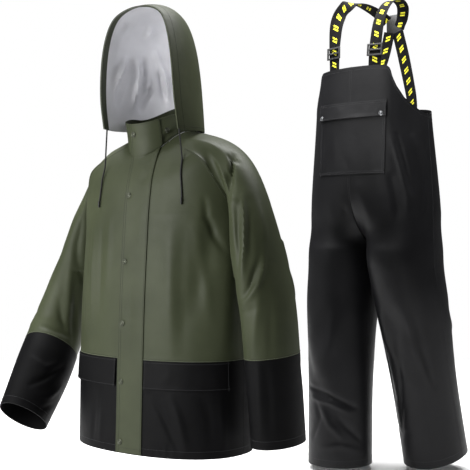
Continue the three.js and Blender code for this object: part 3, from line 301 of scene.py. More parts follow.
SLEEVE_FINE = {
    "left": [
        (10, -13.0, (0.45, -0.57), (0.34, -0.42), (0.25, -0.38)),
        (9, 4.0, (0.34, -0.28), (0.28, -0.3)),
        (7, 7.0, (0.37, -0.27), (0.35, -0.18), (0.29, 0.06), (0.25, 0.47)),
        (8, -6.0, (0.32, -0.25), (0.28, -0.12), (0.25, 0.19)),
        (10, -3.6, (0.41, -0.24), (0.35, -0.07), (0.31, 0.34)),
        (6, 6.0, (0.42, 0.11), (0.38, 0.42), (0.34, 0.62), (0.28, 0.79), (0.22, 0.88)),
        (7, -8.0, (0.38, 0.2), (0.29, 0.62), (0.24, 0.76)),
        (13, 4.2, (0.46, -0.19), (0.45, -0.1), (0.43, 0.01)),
        (11, 4.0, (0.34, 0.68), (0.31, 1.07), (0.28, 1.39), (0.25, 1.93)),
        (7, -3.4, (0.16, 0.98), (0.25, 1.04), (0.31, 0.99)),
        (11, -3.0, (0.39, 0.9), (0.37, 1.41), (0.36, 1.92)),
        (10, 3.4, (0.28, 2.05), (0.27, 2.83), (0.26, 3.68)),
        (10, -3.0, (0.33, 2.05), (0.33, 2.83), (0.32, 3.67)),
        (10, -3.4, (0.62, -0.2), (0.7, 0.5), (0.8, 1.0)),
        (10, 3.0, (0.58, 0.4), (0.66, 0.9), (0.78, 1.4)),
        (11, -3.0, (0.7, 1.3), (0.78, 1.9), (0.86, 2.3)),
        (11, -2.6, (0.6, 2.2), (0.66, 2.9), (0.64, 3.6)),
        (10, 2.6, (0.76, 2.3), (0.8, 3.0), (0.78, 3.7)),
    ],
    "right": [
        (10, -6.0, (0.18, -0.29), (0.18, -0.1), (0.11, 0.34), (0.05, 0.69)),
        (11, 5.4, (0.2, 0.08), (0.14, 0.9), (0.09, 1.5), (0.05, 2.25)),
        (9, -4.6, (0.08, 1.1), (0.03, 1.8), (-0.01, 2.4)),
        (7, -3.6, (0.17, 1.24), (0.05, 2.36)),
        (6, -4.4, (0.2, 2.36), (0.12, 2.4), (0.03, 2.36)),
        (7, 3.6, (0.2, 3.1), (0.1, 3.2), (0.04, 3.0)),
        (7, -5.4, (0.14, 3.6), (0.08, 3.4), (0.0, 3.0)),
        (8, 4.0, (0.09, 3.72), (0.0, 3.6), (-0.05, 3.33)),
        (7, -3.2, (0.12, 3.9), (0.01, 3.86), (-0.08, 3.6)),
        (10, -3.4, (0.36, 0.2), (0.42, 0.9), (0.4, 1.6)),
        (9, -1.8, (0.46, 1.6), (0.34, 1.9), (0.24, 2.1)),
        (9, 1.6, (0.48, 1.9), (0.36, 2.2), (0.26, 2.4)),
        (10, -3.0, (0.62, 0.2), (0.7, 0.8), (0.8, 1.3)),
        (10, 2.8, (0.6, 1.0), (0.7, 1.5), (0.82, 1.9)),
        (11, -3.0, (0.66, 2.0), (0.76, 2.4), (0.9, 2.5)),
        (10, -3.0, (0.5, 2.9), (0.6, 3.3), (0.74, 3.5)),
    ],
}
HOOD_CREASES = {
    "right": [
        (10, -3.6, (0.4, 0.49), (0.29, 0.38), (0.22, 0.29)),
        (9, -3.6, (0.57, 0.5), (0.55, 0.32), (0.51, 0.19)),
        (10, -3.6, (0.8, 0.61), (0.9, 0.47), (0.94, 0.34)),
        (9, 3.6, (0.5, 0.5), (0.39, 0.34), (0.29, 0.21)),
        (9, 3.6, (0.66, 0.54), (0.63, 0.33), (0.6, 0.21)),
        (9, 3.0, (0.84, 0.56), (0.88, 0.41), (0.9, 0.31)),
        (7, 3.0, (0.76, 0.36), (0.68, 0.28), (0.62, 0.18)),
        (12, 3.0, (0.3, 0.82), (0.22, 0.7)),
        (8, -2.4, (0.7, 0.86), (0.66, 0.72)),
    ],
    "left": [
        (10, -3.2, (0.5, 0.6), (0.44, 0.4), (0.4, 0.2)),
        (9, 3.0, (0.62, 0.56), (0.6, 0.36), (0.52, 0.2)),
        (10, -3.0, (0.8, 0.58), (0.86, 0.4), (0.88, 0.24)),
        (9, 2.6, (0.72, 0.8), (0.78, 0.62)),
    ],
}
BIB_CREASES = [
    (26, -6, (0.62, 9.5), (0.52, 4.2)),
    (28, 6, (0.84, 9.0), (0.6, 2.0)),
    (26, -5, (0.2, 4.2), (0.6, 3.0)),
    (26, 5, (0.25, 3.4), (0.62, 1.6)),
    (26, -5, (0.75, 2.6), (0.35, 0.9)),
]
BIB_FINE = {
    ("left", -1): [
        (10, 4.6, (0.45, 11.9), (0.54, 11.2), (0.61, 10.2), (0.66, 9.0)),
        (9, -5.0, (0.5, 12.1), (0.6, 11.1), (0.66, 10.3)),
        (10, 3.4, (0.7, 12.3), (0.79, 11.5), (0.86, 10.3), (0.9, 8.8)),
        (9, -3.6, (0.78, 11.8), (0.83, 10.5), (0.8, 9.2)),
        (20, 7.0, (0.1, 10.4), (0.2, 9.2), (0.36, 5.4), (0.36, 2.6)),
        (12, -7.0, (0.42, 10.7), (0.52, 9.4), (0.64, 5.6), (0.65, 3.9)),
        (10, 4.0, (0.6, 9.8), (0.73, 7.7), (0.79, 4.2)),
        (9, -4.4, (0.84, 8.6), (0.86, 6.2), (0.78, 4.4)),
        (8, -4.4, (0.72, 3.9), (0.73, 2.7), (0.79, 1.8)),
        (9, 4.2, (0.66, 3.6), (0.66, 2.7), (0.73, 1.9)),
        (10, -5.0, (0.2, 3.8), (0.24, 2.6), (0.3, 1.4)),
        (10, -3.6, (0.51, 3.1), (0.46, 2.0), (0.34, 0.7)),
        (8, -3.4, (0.1, 0.9), (0.3, 0.6), (0.46, 0.7)),
    ],
    ("right", -1): [
        (14, 3.6, (0.22, 10.0), (0.38, 5.1), (0.37, 2.6)),
        (10, -3.6, (0.06, 9.6), (0.08, 8.0), (0.2, 4.6)),
        (10, -3.4, (0.6, 9.0), (0.62, 6.4), (0.66, 4.0)),
        (7, -5.4, (0.66, 1.62), (0.41, 1.46), (0.13, 1.12)),
        (8, 5.0, (0.6, 1.32), (0.38, 1.24), (0.2, 1.02)),
        (8, -4.8, (0.55, 1.2), (0.5, 0.88), (0.6, 0.5)),
        (9, 4.4, (0.47, 1.1), (0.4, 0.78), (0.25, 0.5)),
        (8, -4.2, (0.32, 0.94), (0.22, 0.72), (0.07, 0.48)),
        (8, 3.6, (0.49, 0.34), (0.28, 0.4), (0.07, 0.28)),
    ],
    ("left", 1): [
        (10, -4.6, (0.9, 9.4), (0.84, 7.4), (0.9, 4.8)),
        (10, 4.4, (0.8, 9.0), (0.72, 6.6), (0.74, 4.6)),
        (11, -4.4, (0.12, 9.6), (0.3, 7.4), (0.4, 4.6)),
        (12, 3.6, (0.2, 9.0), (0.42, 6.0), (0.46, 4.0)),
        (10, -4.4, (0.9, 3.8), (0.7, 3.3), (0.5, 3.2)),
        (10, 3.8, (0.86, 3.3), (0.66, 2.9), (0.46, 2.9)),
        (9, -4.0, (0.2, 1.6), (0.44, 1.2), (0.7, 1.3)),
        (9, 3.4, (0.3, 1.1), (0.5, 0.8), (0.72, 0.9)),
    ],
    ("right", 1): [
        (11, -4.4, (0.1, 9.4), (0.26, 7.2), (0.36, 4.6)),
        (12, 3.6, (0.2, 8.8), (0.4, 6.0), (0.44, 4.0)),
        (10, -4.2, (0.86, 8.4), (0.74, 6.6), (0.7, 4.6)),
        (10, -4.4, (0.86, 3.6), (0.64, 3.2), (0.46, 3.2)),
        (10, 3.6, (0.8, 3.1), (0.6, 2.8), (0.4, 2.8)),
        (9, -4.2, (0.24, 1.5), (0.48, 1.2), (0.74, 1.3)),
        (9, 3.6, (0.3, 1.1), (0.54, 0.8), (0.76, 0.9)),
    ],
}


HALVINGS = 36


def smooth_at(column, place):
    """Values of a table's column at places between its rows, on one smooth curve."""
    place = np.asarray(place, float)
    last = len(column) - 1
    held = np.clip(place, 0, last)
    i = np.minimum(np.floor(held).astype(int), last - 1)
    f = held - i
    ends = np.concatenate([[2 * column[0] - column[1]], column, [2 * column[-1] - column[-2]]])
    p0, p1, p2, p3 = (ends[i + k] for k in range(4))
    m1, m2 = (p2 - p0) / 2, (p3 - p1) / 2
    f2, f3 = f * f, f * f * f
    return (2 * f3 - 3 * f2 + 1) * p1 + (f3 - 2 * f2 + f) * m1 + (3 * f2 - 2 * f3) * p2 + (f3 - f2) * m2


def smoothstep(value, low, high):
    """From 0 at low to 1 at high, with soft ends."""
    t = np.clip((value - low) / (high - low), 0, 1)
    return t * t * (3 - 2 * t)


def signed_power(value, power):
    """A power that keeps the value's sign."""
    return np.sign(value) * np.abs(value) ** power


def unit(vectors):
    """Vectors at a length of one."""
    length = np.linalg.norm(vectors, axis=-1, keepdims=True)
    return vectors / np.maximum(length, 1e-9)


def crease_depth(creases, points, surface):
    """How far creases push a surface's points out, each a soft line that is deepest in its middle."""
    depth = np.zeros(points.shape[:-1])
    for wide, deep, *marks in creases:
        marks = np.array(marks, float)
        steps = np.linspace(0, len(marks) - 1, 4 * (len(marks) - 1) + 1)
        line = surface(*(np.interp(steps, np.arange(len(marks)), column) for column in marks.T))
        moves = np.diff(line, axis=0)
        lengths = np.linalg.norm(moves, axis=1)
        before = np.cumsum(lengths) - lengths
        box = (points > line.min(axis=0) - 3 * wide) & (points < line.max(axis=0) + 3 * wide)
        here = box.all(axis=-1)
        chosen = points[here]
        nearest = np.full(len(chosen), 1e9)
        along = np.zeros(len(chosen))
        for start, move, length, done in zip(line, moves, lengths, before):
            offset = chosen - start
            share = np.clip(offset @ move / (length * length), 0, 1)
            away = np.linalg.norm(offset - share[:, None] * move, axis=1)
            closer = away < nearest
            nearest = np.where(closer, away, nearest)
            along = np.where(closer, (done + share * length) / lengths.sum(), along)
        depth[here] += deep * np.exp(-((nearest / wide) ** 2)) * (0.35 + 0.65 * np.sin(np.pi * along))
    return depth


def normals_of(grid, inside, ring=False):
    """Unit normals of a grid of points, turned away from the inside point."""
    along = np.gradient(grid, axis=0)
    if ring:
        across = (np.roll(grid, -1, axis=1) - np.roll(grid, 1, axis=1)) / 2
    else:
        across = np.gradient(grid, axis=1)
    normals = unit(np.cross(across, along))
    outward = np.sum(normals * (grid - np.asarray(inside, float)), axis=-1)
    return normals if np.mean(np.sign(outward)) > 0 else -normals


def turned(points, degrees, place=(0.0, 0.0)):
    """Points turned about Z and moved, from a garment's own frame to the shared one."""
    a = math.radians(degrees)
    x, y = points[..., 0], points[..., 1]
    return np.stack(
        [
            x * math.cos(a) - y * math.sin(a) + place[0],
            x * math.sin(a) + y * math.cos(a) + place[1],
            points[..., 2],
        ],
        axis=-1,
    )


def drop_shoulder(points):
    """The jacket's right shoulder hangs lower than its left."""
    away = np.maximum(0, -points[..., 0])
    rise = smoothstep(points[..., 2], UNDERARM_Z, UNDERARM_Z + 150)
    moved = points.copy()
    moved[..., 2] -= SHOULDER_DROP * away * away / (away + 50) * rise
    return moved


def on_jacket(points):
    """From the jacket's own frame to the shared one, with its lower right shoulder."""
    return turned(drop_shoulder(points), JACKET_TURN)


def on_jacket_level(points):
    """From the jacket's own frame to the shared one, where both sides are level."""
    return turned(points, JACKET_TURN)


def on_hood(points):
    """From the hood's own frame to the shared one."""
    return turned(points, HOOD_TURN)


def on_bib(points):
    """From the bib overalls' own frame to the shared one."""
    return turned(points, BIB_TURN, BIB_PLACE)


# Surfaces of the garments, each a grid of points in millimetres: rows first, then columns.


def ring_point(t, degrees, place):
    """A point of a table's rings, degrees round from the middle of the front."""
    degrees, place = np.broadcast_arrays(np.asarray(degrees, float), np.asarray(place, float))
    angle = np.radians(degrees)
    power = 2 / smooth_at(t["square"], place)
    cosine = np.cos(angle)
    ahead = cosine > 0
    deep = np.where(ahead, smooth_at(t["front"], place), smooth_at(t["back"], place))
    z_end = np.where(ahead, smooth_at(t["z_front"], place), smooth_at(t["z_back"], place))
    z_side = smooth_at(t["z_side"], place)
    return np.stack(
        [
            smooth_at(t["half"], place) * signed_power(np.sin(angle), power),
            -deep * signed_power(cosine, power),
            z_side + (z_end - z_side) * cosine * cosine,
        ],
        axis=-1,
    )


def outward(surface, a, b, a_step, b_step):
    """A surface's unit normals at two coordinates."""
    across = surface(a + a_step, b) - surface(a - a_step, b)
    along = surface(a, b + b_step) - surface(a, b - b_step)
    return unit(np.cross(across, along))


def degrees_at_x(t, x, place):
    """Where a table's ring is at x across its front."""
    share = np.minimum(np.abs(x) / smooth_at(t["half"], place), 1)
    sine = share ** (smooth_at(t["square"], place) / 2)
    return np.sign(x) * np.degrees(np.arcsin(sine))


def panel_degrees(place, edge):
    """Where the body's front or back panel ends at a row."""
    if edge == "front":
        return np.minimum(smooth_at(BODY["seam_front"], place), 90)
    return np.maximum(180 - smooth_at(BODY["seam_back"], place), 90)


def body_point(degrees, place, out=0.0, fine=True):
    """The jacket body's outer surface with its creases, moved out by a distance."""
    degrees, place = np.broadcast_arrays(np.asarray(degrees, float), np.asarray(place, float))

    def plain(a, b):
        return ring_point(BODY, a, b)

    held = np.clip(place, 0.01, NECK_ROW - 0.01)
    normal = outward(plain, degrees, held, 0.5, 0.01)
    fade = np.clip((SHOULDER_ROW - place) / 2, 0, 1)
    around = np.where(degrees > 180, degrees - 360, degrees)
    point = plain(degrees, place)
    depth = crease_depth(BODY_CREASES, point, plain) * fade
    if fine:
        edge = np.where(np.abs(around) > 90, 180 - np.abs(around), np.abs(around))
        seam = np.where(
            np.abs(around) > 90, smooth_at(BODY["seam_back"], place), smooth_at(BODY["seam_front"], place)
        )
        calm = smoothstep(seam - edge, 0.0, 4.0)
        depth = depth + crease_depth(BODY_FINE, point, plain) * calm
    return point + normal * (depth + out)[..., None]


def collar_point(degrees, place, out=0.0):
    """The collar's outer surface, moved out by a distance."""

    def plain(a, b):
        return ring_point(COLLAR, a, b)

    degrees, place = np.broadcast_arrays(np.asarray(degrees, float), np.asarray(place, float))
    normal = outward(plain, degrees, np.clip(place, 0.01, 1.99), 0.5, 0.01)
    return plain(degrees, place) + normal * np.broadcast_to(out, degrees.shape)[..., None]


def over_front(x, row, out):
    """A point over the body's front and then the collar's, x across."""
    x, row = np.broadcast_arrays(np.asarray(x, float), np.asarray(row, float))
    out = np.broadcast_to(out, x.shape)
    low = np.minimum(row, NECK_ROW)
    body = body_point(degrees_at_x(BODY, x, low), low, out, fine=False)
    place = np.maximum(row - NECK_ROW, 0) * 2
    collar = collar_point(degrees_at_x(COLLAR, x, place), place, out)
    return np.where((row <= NECK_ROW)[..., None], body, collar)


SEAM_SHARE = 0.38
SEAM_STEP = SEAM_SHARE / 9
# Round the underarm, as shares of the raglan seam: where the cloth turns down, and where it is fuller.
UNDERARM_TURN, UNDERARM_FULL = 0.16, 0.14
UNDERARM_LEAVES = (0.8, 0.0, -0.6)
# How far the sleeve stands off the seam in millimetres, and how much more it does at the underarm.
SEAM_OFF, UNDERARM_OFF = 0.45, 2.6


def seam_place(share):
    """Degrees and row of the raglan seam at a share round it from the underarm, front first."""
    share = np.mod(share, 1.0)
    climb = (NECK_ROW - UNDERARM_ROW) / SEAM_SHARE
    row = np.where(
        share < SEAM_SHARE,
        UNDERARM_ROW + climb * share,
        np.where(share > 1 - SEAM_SHARE, UNDERARM_ROW + climb * (1 - share), NECK_ROW),
    )
    front, back = panel_degrees(row, "front"), panel_degrees(row, "back")
    across = np.clip((share - SEAM_SHARE) / (1 - 2 * SEAM_SHARE), 0, 1)
    degrees = front + (back - front) * across
    return degrees, row


def leaving(share):
    """The direction in which a sleeve's cloth leaves the raglan seam."""
    degrees, row = seam_place(share)

    def plain(a, b):
        return ring_point(BODY, a, b)

    held = np.minimum(row, NECK_ROW - 0.02)
    normal = outward(plain, degrees, held, 0.5, 0.01)
    along = plain(*seam_place(share + SEAM_STEP)) - plain(*seam_place(share - SEAM_STEP))
    direction = unit(np.cross(normal, along))
    direction = np.where(direction[..., :1] < 0, -direction, direction)
    near = np.minimum(share, 1 - share)
    under = smoothstep(1 - near / UNDERARM_TURN, 0, 1)[..., None]
    return unit(direction * (1 - under) + np.array(UNDERARM_LEAVES) * under)


def station(t, place, share, side):
    """A sleeve ring's point and the arm's direction there."""
    centre = np.stack([smooth_at(t[k], place) for k in "xyz"], axis=-1)
    ahead = np.stack([smooth_at(t[k], place + 0.02) for k in "xyz"], axis=-1)
    behind = np.stack([smooth_at(t[k], place - 0.02) for k in "xyz"], axis=-1)
    down = unit(ahead - behind)
    across = np.zeros_like(down)
    across[..., 0] = side
    across = unit(across - down * np.sum(across * down, axis=-1, keepdims=True))
    front = unit(np.cross(down, across) * side)
    angle = 2 * np.pi * share
    point = (
        centre
        - across * (smooth_at(t["across"], place) * np.cos(angle))[..., None]
        + front * (smooth_at(t["deep"], place) * np.sin(angle))[..., None]
    )
    return point, down


def sleeve_grid(name, rows, shares):
    """A sleeve's plain surface. Row -1 is the raglan seam, 0 the first station."""
    row, share = np.meshgrid(rows, shares, indexing="ij")
    return sleeve_point(name, row, share)


def sleeve_point(name, row, share):
    """A point of a sleeve, share round it from the underarm, front first."""
    side, t = SIDES[name], SLEEVES[name]
    point, down = station(t, np.maximum(row, 0), share, side)
    degrees, place = seam_place(share)
    leave = leaving(share)
    near = np.minimum(share, 1 - share)
    low = np.maximum(0, 1 - near / UNDERARM_FULL)
    seam = ring_point(BODY, degrees, place) + leave * (SEAM_OFF + UNDERARM_OFF * low)[..., None]
    mirror = np.array([side, 1.0, 1.0])
    seam, leave = seam * mirror, leave * mirror
    span = np.linalg.norm(seam - point, axis=-1)
    high = np.sin(np.pi * share)
    reach = 0.45 + 0.5 * np.minimum(1, high * 1.6) + 0.5 * np.maximum(0, high * high * 2 - 1)
    s = np.clip(row + 1, 0, 1)
    s2, s3 = s * s, s * s * s
    cap = (
        seam * (2 * s3 - 3 * s2 + 1)[..., None]
        + leave * ((s3 - 2 * s2 + s) * span * reach)[..., None]
        + point * (3 * s2 - 2 * s3)[..., None]
        + down * ((s3 - s2) * span * reach)[..., None]
    )
    return np.where((row >= 0)[..., None], point, cap)


def sleeve_depth(name, rows, shares):
    """How far a sleeve's creases stand out, calm over the shoulder."""
    row, share = np.meshgrid(rows, shares, indexing="ij")
    point = sleeve_point(name, row, share)

    def plain(a, b):
        return sleeve_point(name, b, a)

    high = np.where(row < 0, np.sin(np.pi * share) ** 4, 0)
    fade = np.clip((row + 0.9) * 3, 0, 1) * (1 - high)
    beside = np.maximum(0, np.cos(2 * np.pi * share)) * (row < 0.4)
    calm = smoothstep(row, -1.0, -0.8)
    broad = crease_depth(SLEEVE_CREASES, point, plain) * fade * (1 - beside)
    return broad + crease_depth(SLEEVE_FINE[name], point, plain) * calm * (1 - 0.8 * beside)


def curve_at(t, share):
    """Forward and up at a share of one of the hood's curves."""
    place = np.asarray(share, float) * (len(t["y"]) - 1)
    return smooth_at(t["y"], place), smooth_at(t["z"], place)


def hood_point(back, up, side):
    """back: 0 at the face edge, 1 at the back seam. up: 0 at the neck edge, 1 at the crown."""
    back, up = np.broadcast_arrays(np.asarray(back, float), np.asarray(up, float))
    face, rear = curve_at(HOOD_FACE, up), curve_at(HOOD_BACK, up)
    low, high = curve_at(HOOD_NECK, back), curve_at(HOOD_TOP, back)
    y, z = (
        (1 - back) * face[k] + back * rear[k] + (1 - up) * low[k] + up * high[k]
        - (1 - back) * (1 - up) * HOOD_FACE[key][0] - back * (1 - up) * HOOD_BACK[key][0]
        - (1 - back) * up * HOOD_TOP[key][0] - back * up * HOOD_TOP[key][-1]
        for k, key in enumerate("yz")
    )
    power = HOOD_ROUND
    wide_up = np.maximum(0, 1 - up**power) ** (1 / power)
    wide_back = np.maximum(0, 1 - back**power) ** (1 / power)
    fuller = 0.92 + 0.08 * np.sin(np.pi * np.minimum(1, back * 1.3))
    x = HOOD_PARTING / 2 + HOOD_HALF * fuller * wide_up * wide_back
    sag = HOOD_SAG * (1 - up) ** 2 * (1 - back * back) if side > 0 else 0.0
    return np.stack([side * x, y, z - sag], axis=-1)


def leg_point(t, share, face, place):
    """A point of a leg's rings, held at the top one above them."""
    held = np.minimum(place, LEG_ROWS - 1)
    side = np.sign(t["x"][0])
    angle = np.pi * (1 - share)
    deep = smooth_at(t["front" if face < 0 else "back"], held)
    flatter = 1 - LEG_FLAT * smoothstep(held, 1.0, 4.5)
    z_in, z_out = smooth_at(t["z_in"], held), smooth_at(t["z_out"], held)
    y = smooth_at(t["y"], held) + face * deep * np.maximum(np.sin(angle), 0) ** flatter
    x = smooth_at(t["x"], held) + side * smooth_at(t["across"], held) * np.cos(angle)
    tilt = smooth_at(t["z_tilt"], held) * face * np.sin(angle)
    return np.stack([x, y, z_in + (z_out - z_in) * share + tilt], axis=-1)


def bib_plain(t, share, face, place):
    """share: 0 at the inseam or centre seam, 1 at the side seam. face: -1 front, 1 back."""
    share, place = np.broadcast_arrays(np.asarray(share, float), np.asarray(place, float))
    side = np.sign(t["x"][0])
    end = "front" if face < 0 else "back"
    leg = leg_point(t, share, face, place)
    start = leg_point(t, share, face, np.full(place.shape, LEG_ROWS - 1.0))
    row = np.maximum(place - LEG_ROWS, 0)
    angle = np.pi / 2 * share
    power = 2 / BIB_SQUARE
    x = side * smooth_at(BIB["half"], row) * np.sin(angle) ** power
    y = face * smooth_at(BIB[end], row) * np.maximum(np.cos(angle), 0) ** power
    torso = smooth_at(BIB["torso"], row)
    centre = smooth_at(BIB["z_" + end], row)
    z = centre + (smooth_at(BIB["z_side"], row) - centre) * share * share
    if face < 0:
        near_top = np.clip((row - 4) / 4, 0, 1)
        top = np.interp(np.clip(90 * share, 0, 90), BIB_EDGE["degrees"], BIB_EDGE["z"])
        plain_top = BIB["z_front"][-1] + (BIB["z_side"][-1] - BIB["z_front"][-1]) * share * share
        z = z + (top - plain_top) * near_top
    x = x * torso + start[..., 0] * (1 - torso)
    y = y * torso + start[..., 1] * (1 - torso)
    body = np.stack([x, y, z], axis=-1)
    join = np.clip(place - (LEG_ROWS - 1), 0, 1)[..., None]
    middle = start * (1 - join) + body * join
    return np.where((place <= LEG_ROWS - 1)[..., None], leg, middle)


def bib_point(name, share, face, place, out=0.0, fine=True):
    """A point of the bib overalls' half shell, body and leg in one."""
    t = LEGS[name]
    share, place = np.broadcast_arrays(np.asarray(share, float), np.asarray(place, float))

    def plain(a, b):
        return bib_plain(t, a, face, b)

    held = np.clip(place, 0.01, BIB_TOP_ROW - 0.01)
    normal = outward(plain, np.clip(share, 0.01, 0.99), held, 0.005, 0.005)
    point = plain(share, place)
    centre_y = smooth_at(t["y"], np.minimum(place, LEG_ROWS - 1))
    side = normal[..., 0] * (point[..., 0] - t["x"][0] * 0.9) + normal[..., 1] * (point[..., 1] - centre_y)
    normal = np.where((side > 0)[..., None], normal, -normal)
    edges = np.sin(np.pi * share)
    depth = crease_depth(BIB_CREASES, point, plain) * edges
    if fine:
        calm = smoothstep(np.minimum(share, 1 - share), 0.0, 0.05)
        depth = depth + crease_depth(BIB_FINE[(name, face)], point, plain) * calm
    return point + normal * (depth + out)[..., None]


def row_where(low, high, is_below):
    """The row between low and high up to which something is below its goal."""
    for _ in range(HALVINGS):
        middle = (low + high) / 2
        if is_below(middle):
            low = middle
        else:
            high = middle
    return (low + high) / 2


def over_bib(x, z, out):
    """A point over the bib's front at x and height z."""
    x, z = np.broadcast_arrays(np.asarray(x, float), np.asarray(z, float))
    found = np.zeros(x.shape + (3,))
    for name, side in SIDES.items():
        here = x >= 0 if side > 0 else x < 0
        low = np.full(x.shape, LEG_ROWS + 3.0)
        high = np.full(x.shape, float(BIB_TOP_ROW))
        share = np.zeros(x.shape)
        for _ in range(HALVINGS):
            middle = (low + high) / 2
            half = smooth_at(BIB["half"], middle - LEG_ROWS)
            share = np.arcsin(np.minimum(1, np.abs(x) / half) ** (BIB_SQUARE / 2)) / (np.pi / 2)
            below = bib_plain(LEGS[name], share, -1, middle)[..., 2] < z
            low, high = np.where(below, middle, low), np.where(below, high, middle)
        point = bib_point(name, np.maximum(share, 0.0005), -1, (low + high) / 2, out, fine=False)
        found = np.where(here[..., None], point, found)
    return found


# Meshes and materials


def linear(colour):
    """An sRGB colour as six hex digits, in the scene's own linear values."""
    parts = [int(colour[i : i + 2], 16) / 255 for i in (0, 2, 4)]
    return tuple(c / 12.92 if c <= 0.04045 else ((c + 0.055) / 1.055) ** 2.4 for c in parts) + (1.0,)


def add_node(tree, kind, values=None, **settings):
    """A node of a kind with its settings and the values of its inputs."""
    node = tree.nodes.new(kind)
    for key, value in settings.items():
        setattr(node, key, value)
    for key, value in (values or {}).items():
        node.inputs[key].default_value = value
    return node


def new_material(name):
    """A material with its one shader joined to its output."""
    material = bpy.data.materials.new(name)
    material.use_nodes = True
    tree = material.node_tree
    tree.nodes.clear()
    shader = add_node(tree, "ShaderNodeBsdfPrincipled")
    output = add_node(tree, "ShaderNodeOutputMaterial")
    tree.links.new(shader.outputs["BSDF"], output.inputs["Surface"])
    return material, tree, shader


def coated_cloth(name, dark, light, roughness, gloss=0.3, grain=0.12, sheen=0.0):
    """Cloth with a smooth polyurethane coat: a soft satin gloss over a fine even grain."""
    material, tree, shader = new_material(name)
    place = add_node(tree, "ShaderNodeTexCoord")
    tone = add_node(tree, "ShaderNodeTexNoise", {"Scale": 9.0, "Detail": 3.0, "Roughness": 0.5})
    ramp = add_node(tree, "ShaderNodeValToRGB")
    ramp.color_ramp.elements[0].position = 0.35
    ramp.color_ramp.elements[0].color = linear(dark)
    ramp.color_ramp.elements[1].position = 0.68
    ramp.color_ramp.elements[1].color = linear(light)
    rough = add_node(tree, "ShaderNodeMapRange", {"To Min": roughness - 0.05, "To Max": roughness + 0.06})
    fine = add_node(tree, "ShaderNodeTexNoise", {"Scale": 900.0, "Detail": 2.0, "Roughness": 0.6})
    soft = add_node(tree, "ShaderNodeTexNoise", {"Scale": 46.0, "Detail": 2.0, "Roughness": 0.45})
    low = add_node(tree, "ShaderNodeBump", {"Strength": 0.22, "Distance": 0.0022})
    top = add_node(tree, "ShaderNodeBump", {"Strength": grain, "Distance": 0.0003})
    link = tree.links.new
    for noise in (tone, fine, soft):
        link(place.outputs["Object"], noise.inputs["Vector"])
    link(tone.outputs["Fac"], ramp.inputs["Fac"])
    link(ramp.outputs["Color"], shader.inputs["Base Color"])
    link(soft.outputs["Fac"], rough.inputs["Value"])
    link(rough.outputs["Result"], shader.inputs["Roughness"])
    link(soft.outputs["Fac"], low.inputs["Height"])
    link(fine.outputs["Fac"], top.inputs["Height"])
    link(low.outputs["Normal"], top.inputs["Normal"])
    link(top.outputs["Normal"], shader.inputs["Normal"])
    shader.inputs["Specular IOR Level"].default_value = gloss
    shader.inputs["Sheen Weight"].default_value = sheen
    return material


def plain_finish(name, colour, roughness, metallic=0.0, speck=0.0):
    """One colour with a little unevenness in its gloss, as moulded or pressed parts have."""
    material, tree, shader = new_material(name)
    place = add_node(tree, "ShaderNodeTexCoord")
    noise = add_node(tree, "ShaderNodeTexNoise", {"Scale": 700.0, "Detail": 2.0})
    rough = add_node(tree, "ShaderNodeMapRange", {"To Min": roughness - 0.06, "To Max": roughness + 0.08})
    bump = add_node(tree, "ShaderNodeBump", {"Strength": speck, "Distance": 0.0002})
    link = tree.links.new
    link(place.outputs["Object"], noise.inputs["Vector"])
    link(noise.outputs["Fac"], rough.inputs["Value"])
    link(rough.outputs["Result"], shader.inputs["Roughness"])
    link(noise.outputs["Fac"], bump.inputs["Height"])
    link(bump.outputs["Normal"], shader.inputs["Normal"])
    shader.inputs["Base Color"].default_value = linear(colour)
    shader.inputs["Metallic"].default_value = metallic
    return material


MATERIALS = {}


def material(key):
    """A material of the suit by its key, made the first time it is asked for."""
    if key not in MATERIALS:
        MATERIALS[key] = MAKERS[key]()
    return MATERIALS[key]


MAKERS = {
    # Knitted cloth under a coat of polyurethane: an even colour with a soft sheen on every fold.
    "olive": lambda: coated_cloth("olive polyurethane coated cloth", "373C2A", "3F4431", 0.5, 0.19),
    # The same cloth in a darker colour with a duller face: painted shade, which keeps the inside of the
    # collar dark.
    "olive_painted_shade": lambda: coated_cloth("dark olive facing cloth", "23271A", "2A2E1F", 0.7, 0.1),
    # The jacket's black panels: nearly no sheen, so they stay deep and flat to the eye.
    "black": lambda: coated_cloth("black polyurethane coated cloth", "0B0B0C", "0F0F10", 0.55, 0.08),
    # The bib's black: a smoother coat, whose broad sheen shows the creases of the legs.
    "bib_black": lambda: coated_cloth("black polyurethane coated bib cloth", "0F0F11", "151517", 0.46, 0.2),
    # The bare knitted side of the black cloth: matt, with a coarser grain than the coat.
    "black_inside": lambda: coated_cloth("black knitted backing", "070708", "0C0C0D", 0.8, 0.1, 0.3),
    # The jacket's and hood's backing, whose silvery face gives the loose wrinkles a bright shine.
    "silver": lambda: coated_cloth("silver-grey knitted backing", "D8D8DC", "EAEAEE", 0.42, 0.8, 0.3, 0.1),
    # Pressed brass with a dark plating: small metal points on the placket and the collar.
    "gunmetal": lambda: plain_finish("gunmetal pressed snap", "4C4F44", 0.4, 0.85),
    # The same snap in a brighter plating, which catches the light on the pocket flap.
    "nickel": lambda: plain_finish("dark nickel pressed snap", "747577", 0.3, 0.9),
    # Injection moulded sliders, patch and cord tips: an even black with a dull shine.
    "plastic": lambda: plain_finish("black moulded plastic", "0B0B0C", 0.5),
    # Braided polyester: matt black, rough with the small bumps of the plait.
    "cord": lambda: plain_finish("black braided cord", "111112", 0.75, 0.0, 0.8),
    # Spun polyester thread, matt: the olive darker than its cloth, partly painted shade along the seams and
    # the placket's free edge; the black a little lighter than its cloth; and pale along the colour seam as
    # a painted highlight of the seam's turned edge.
    "olive_thread_and_shade": lambda: plain_finish("olive sewing thread", "1E2117", 0.8),
    "black_thread": lambda: plain_finish("black sewing thread", "2E2E30", 0.8),
    "painted_highlight_thread": lambda: plain_finish("pale olive sewing thread", "7C826C", 0.8),
}


def put_in_scene(name, mesh):
    """An object of a mesh or a light at the origin."""
    made = bpy.data.objects.new(name, mesh)
    bpy.context.scene.collection.objects.link(made)
    return made


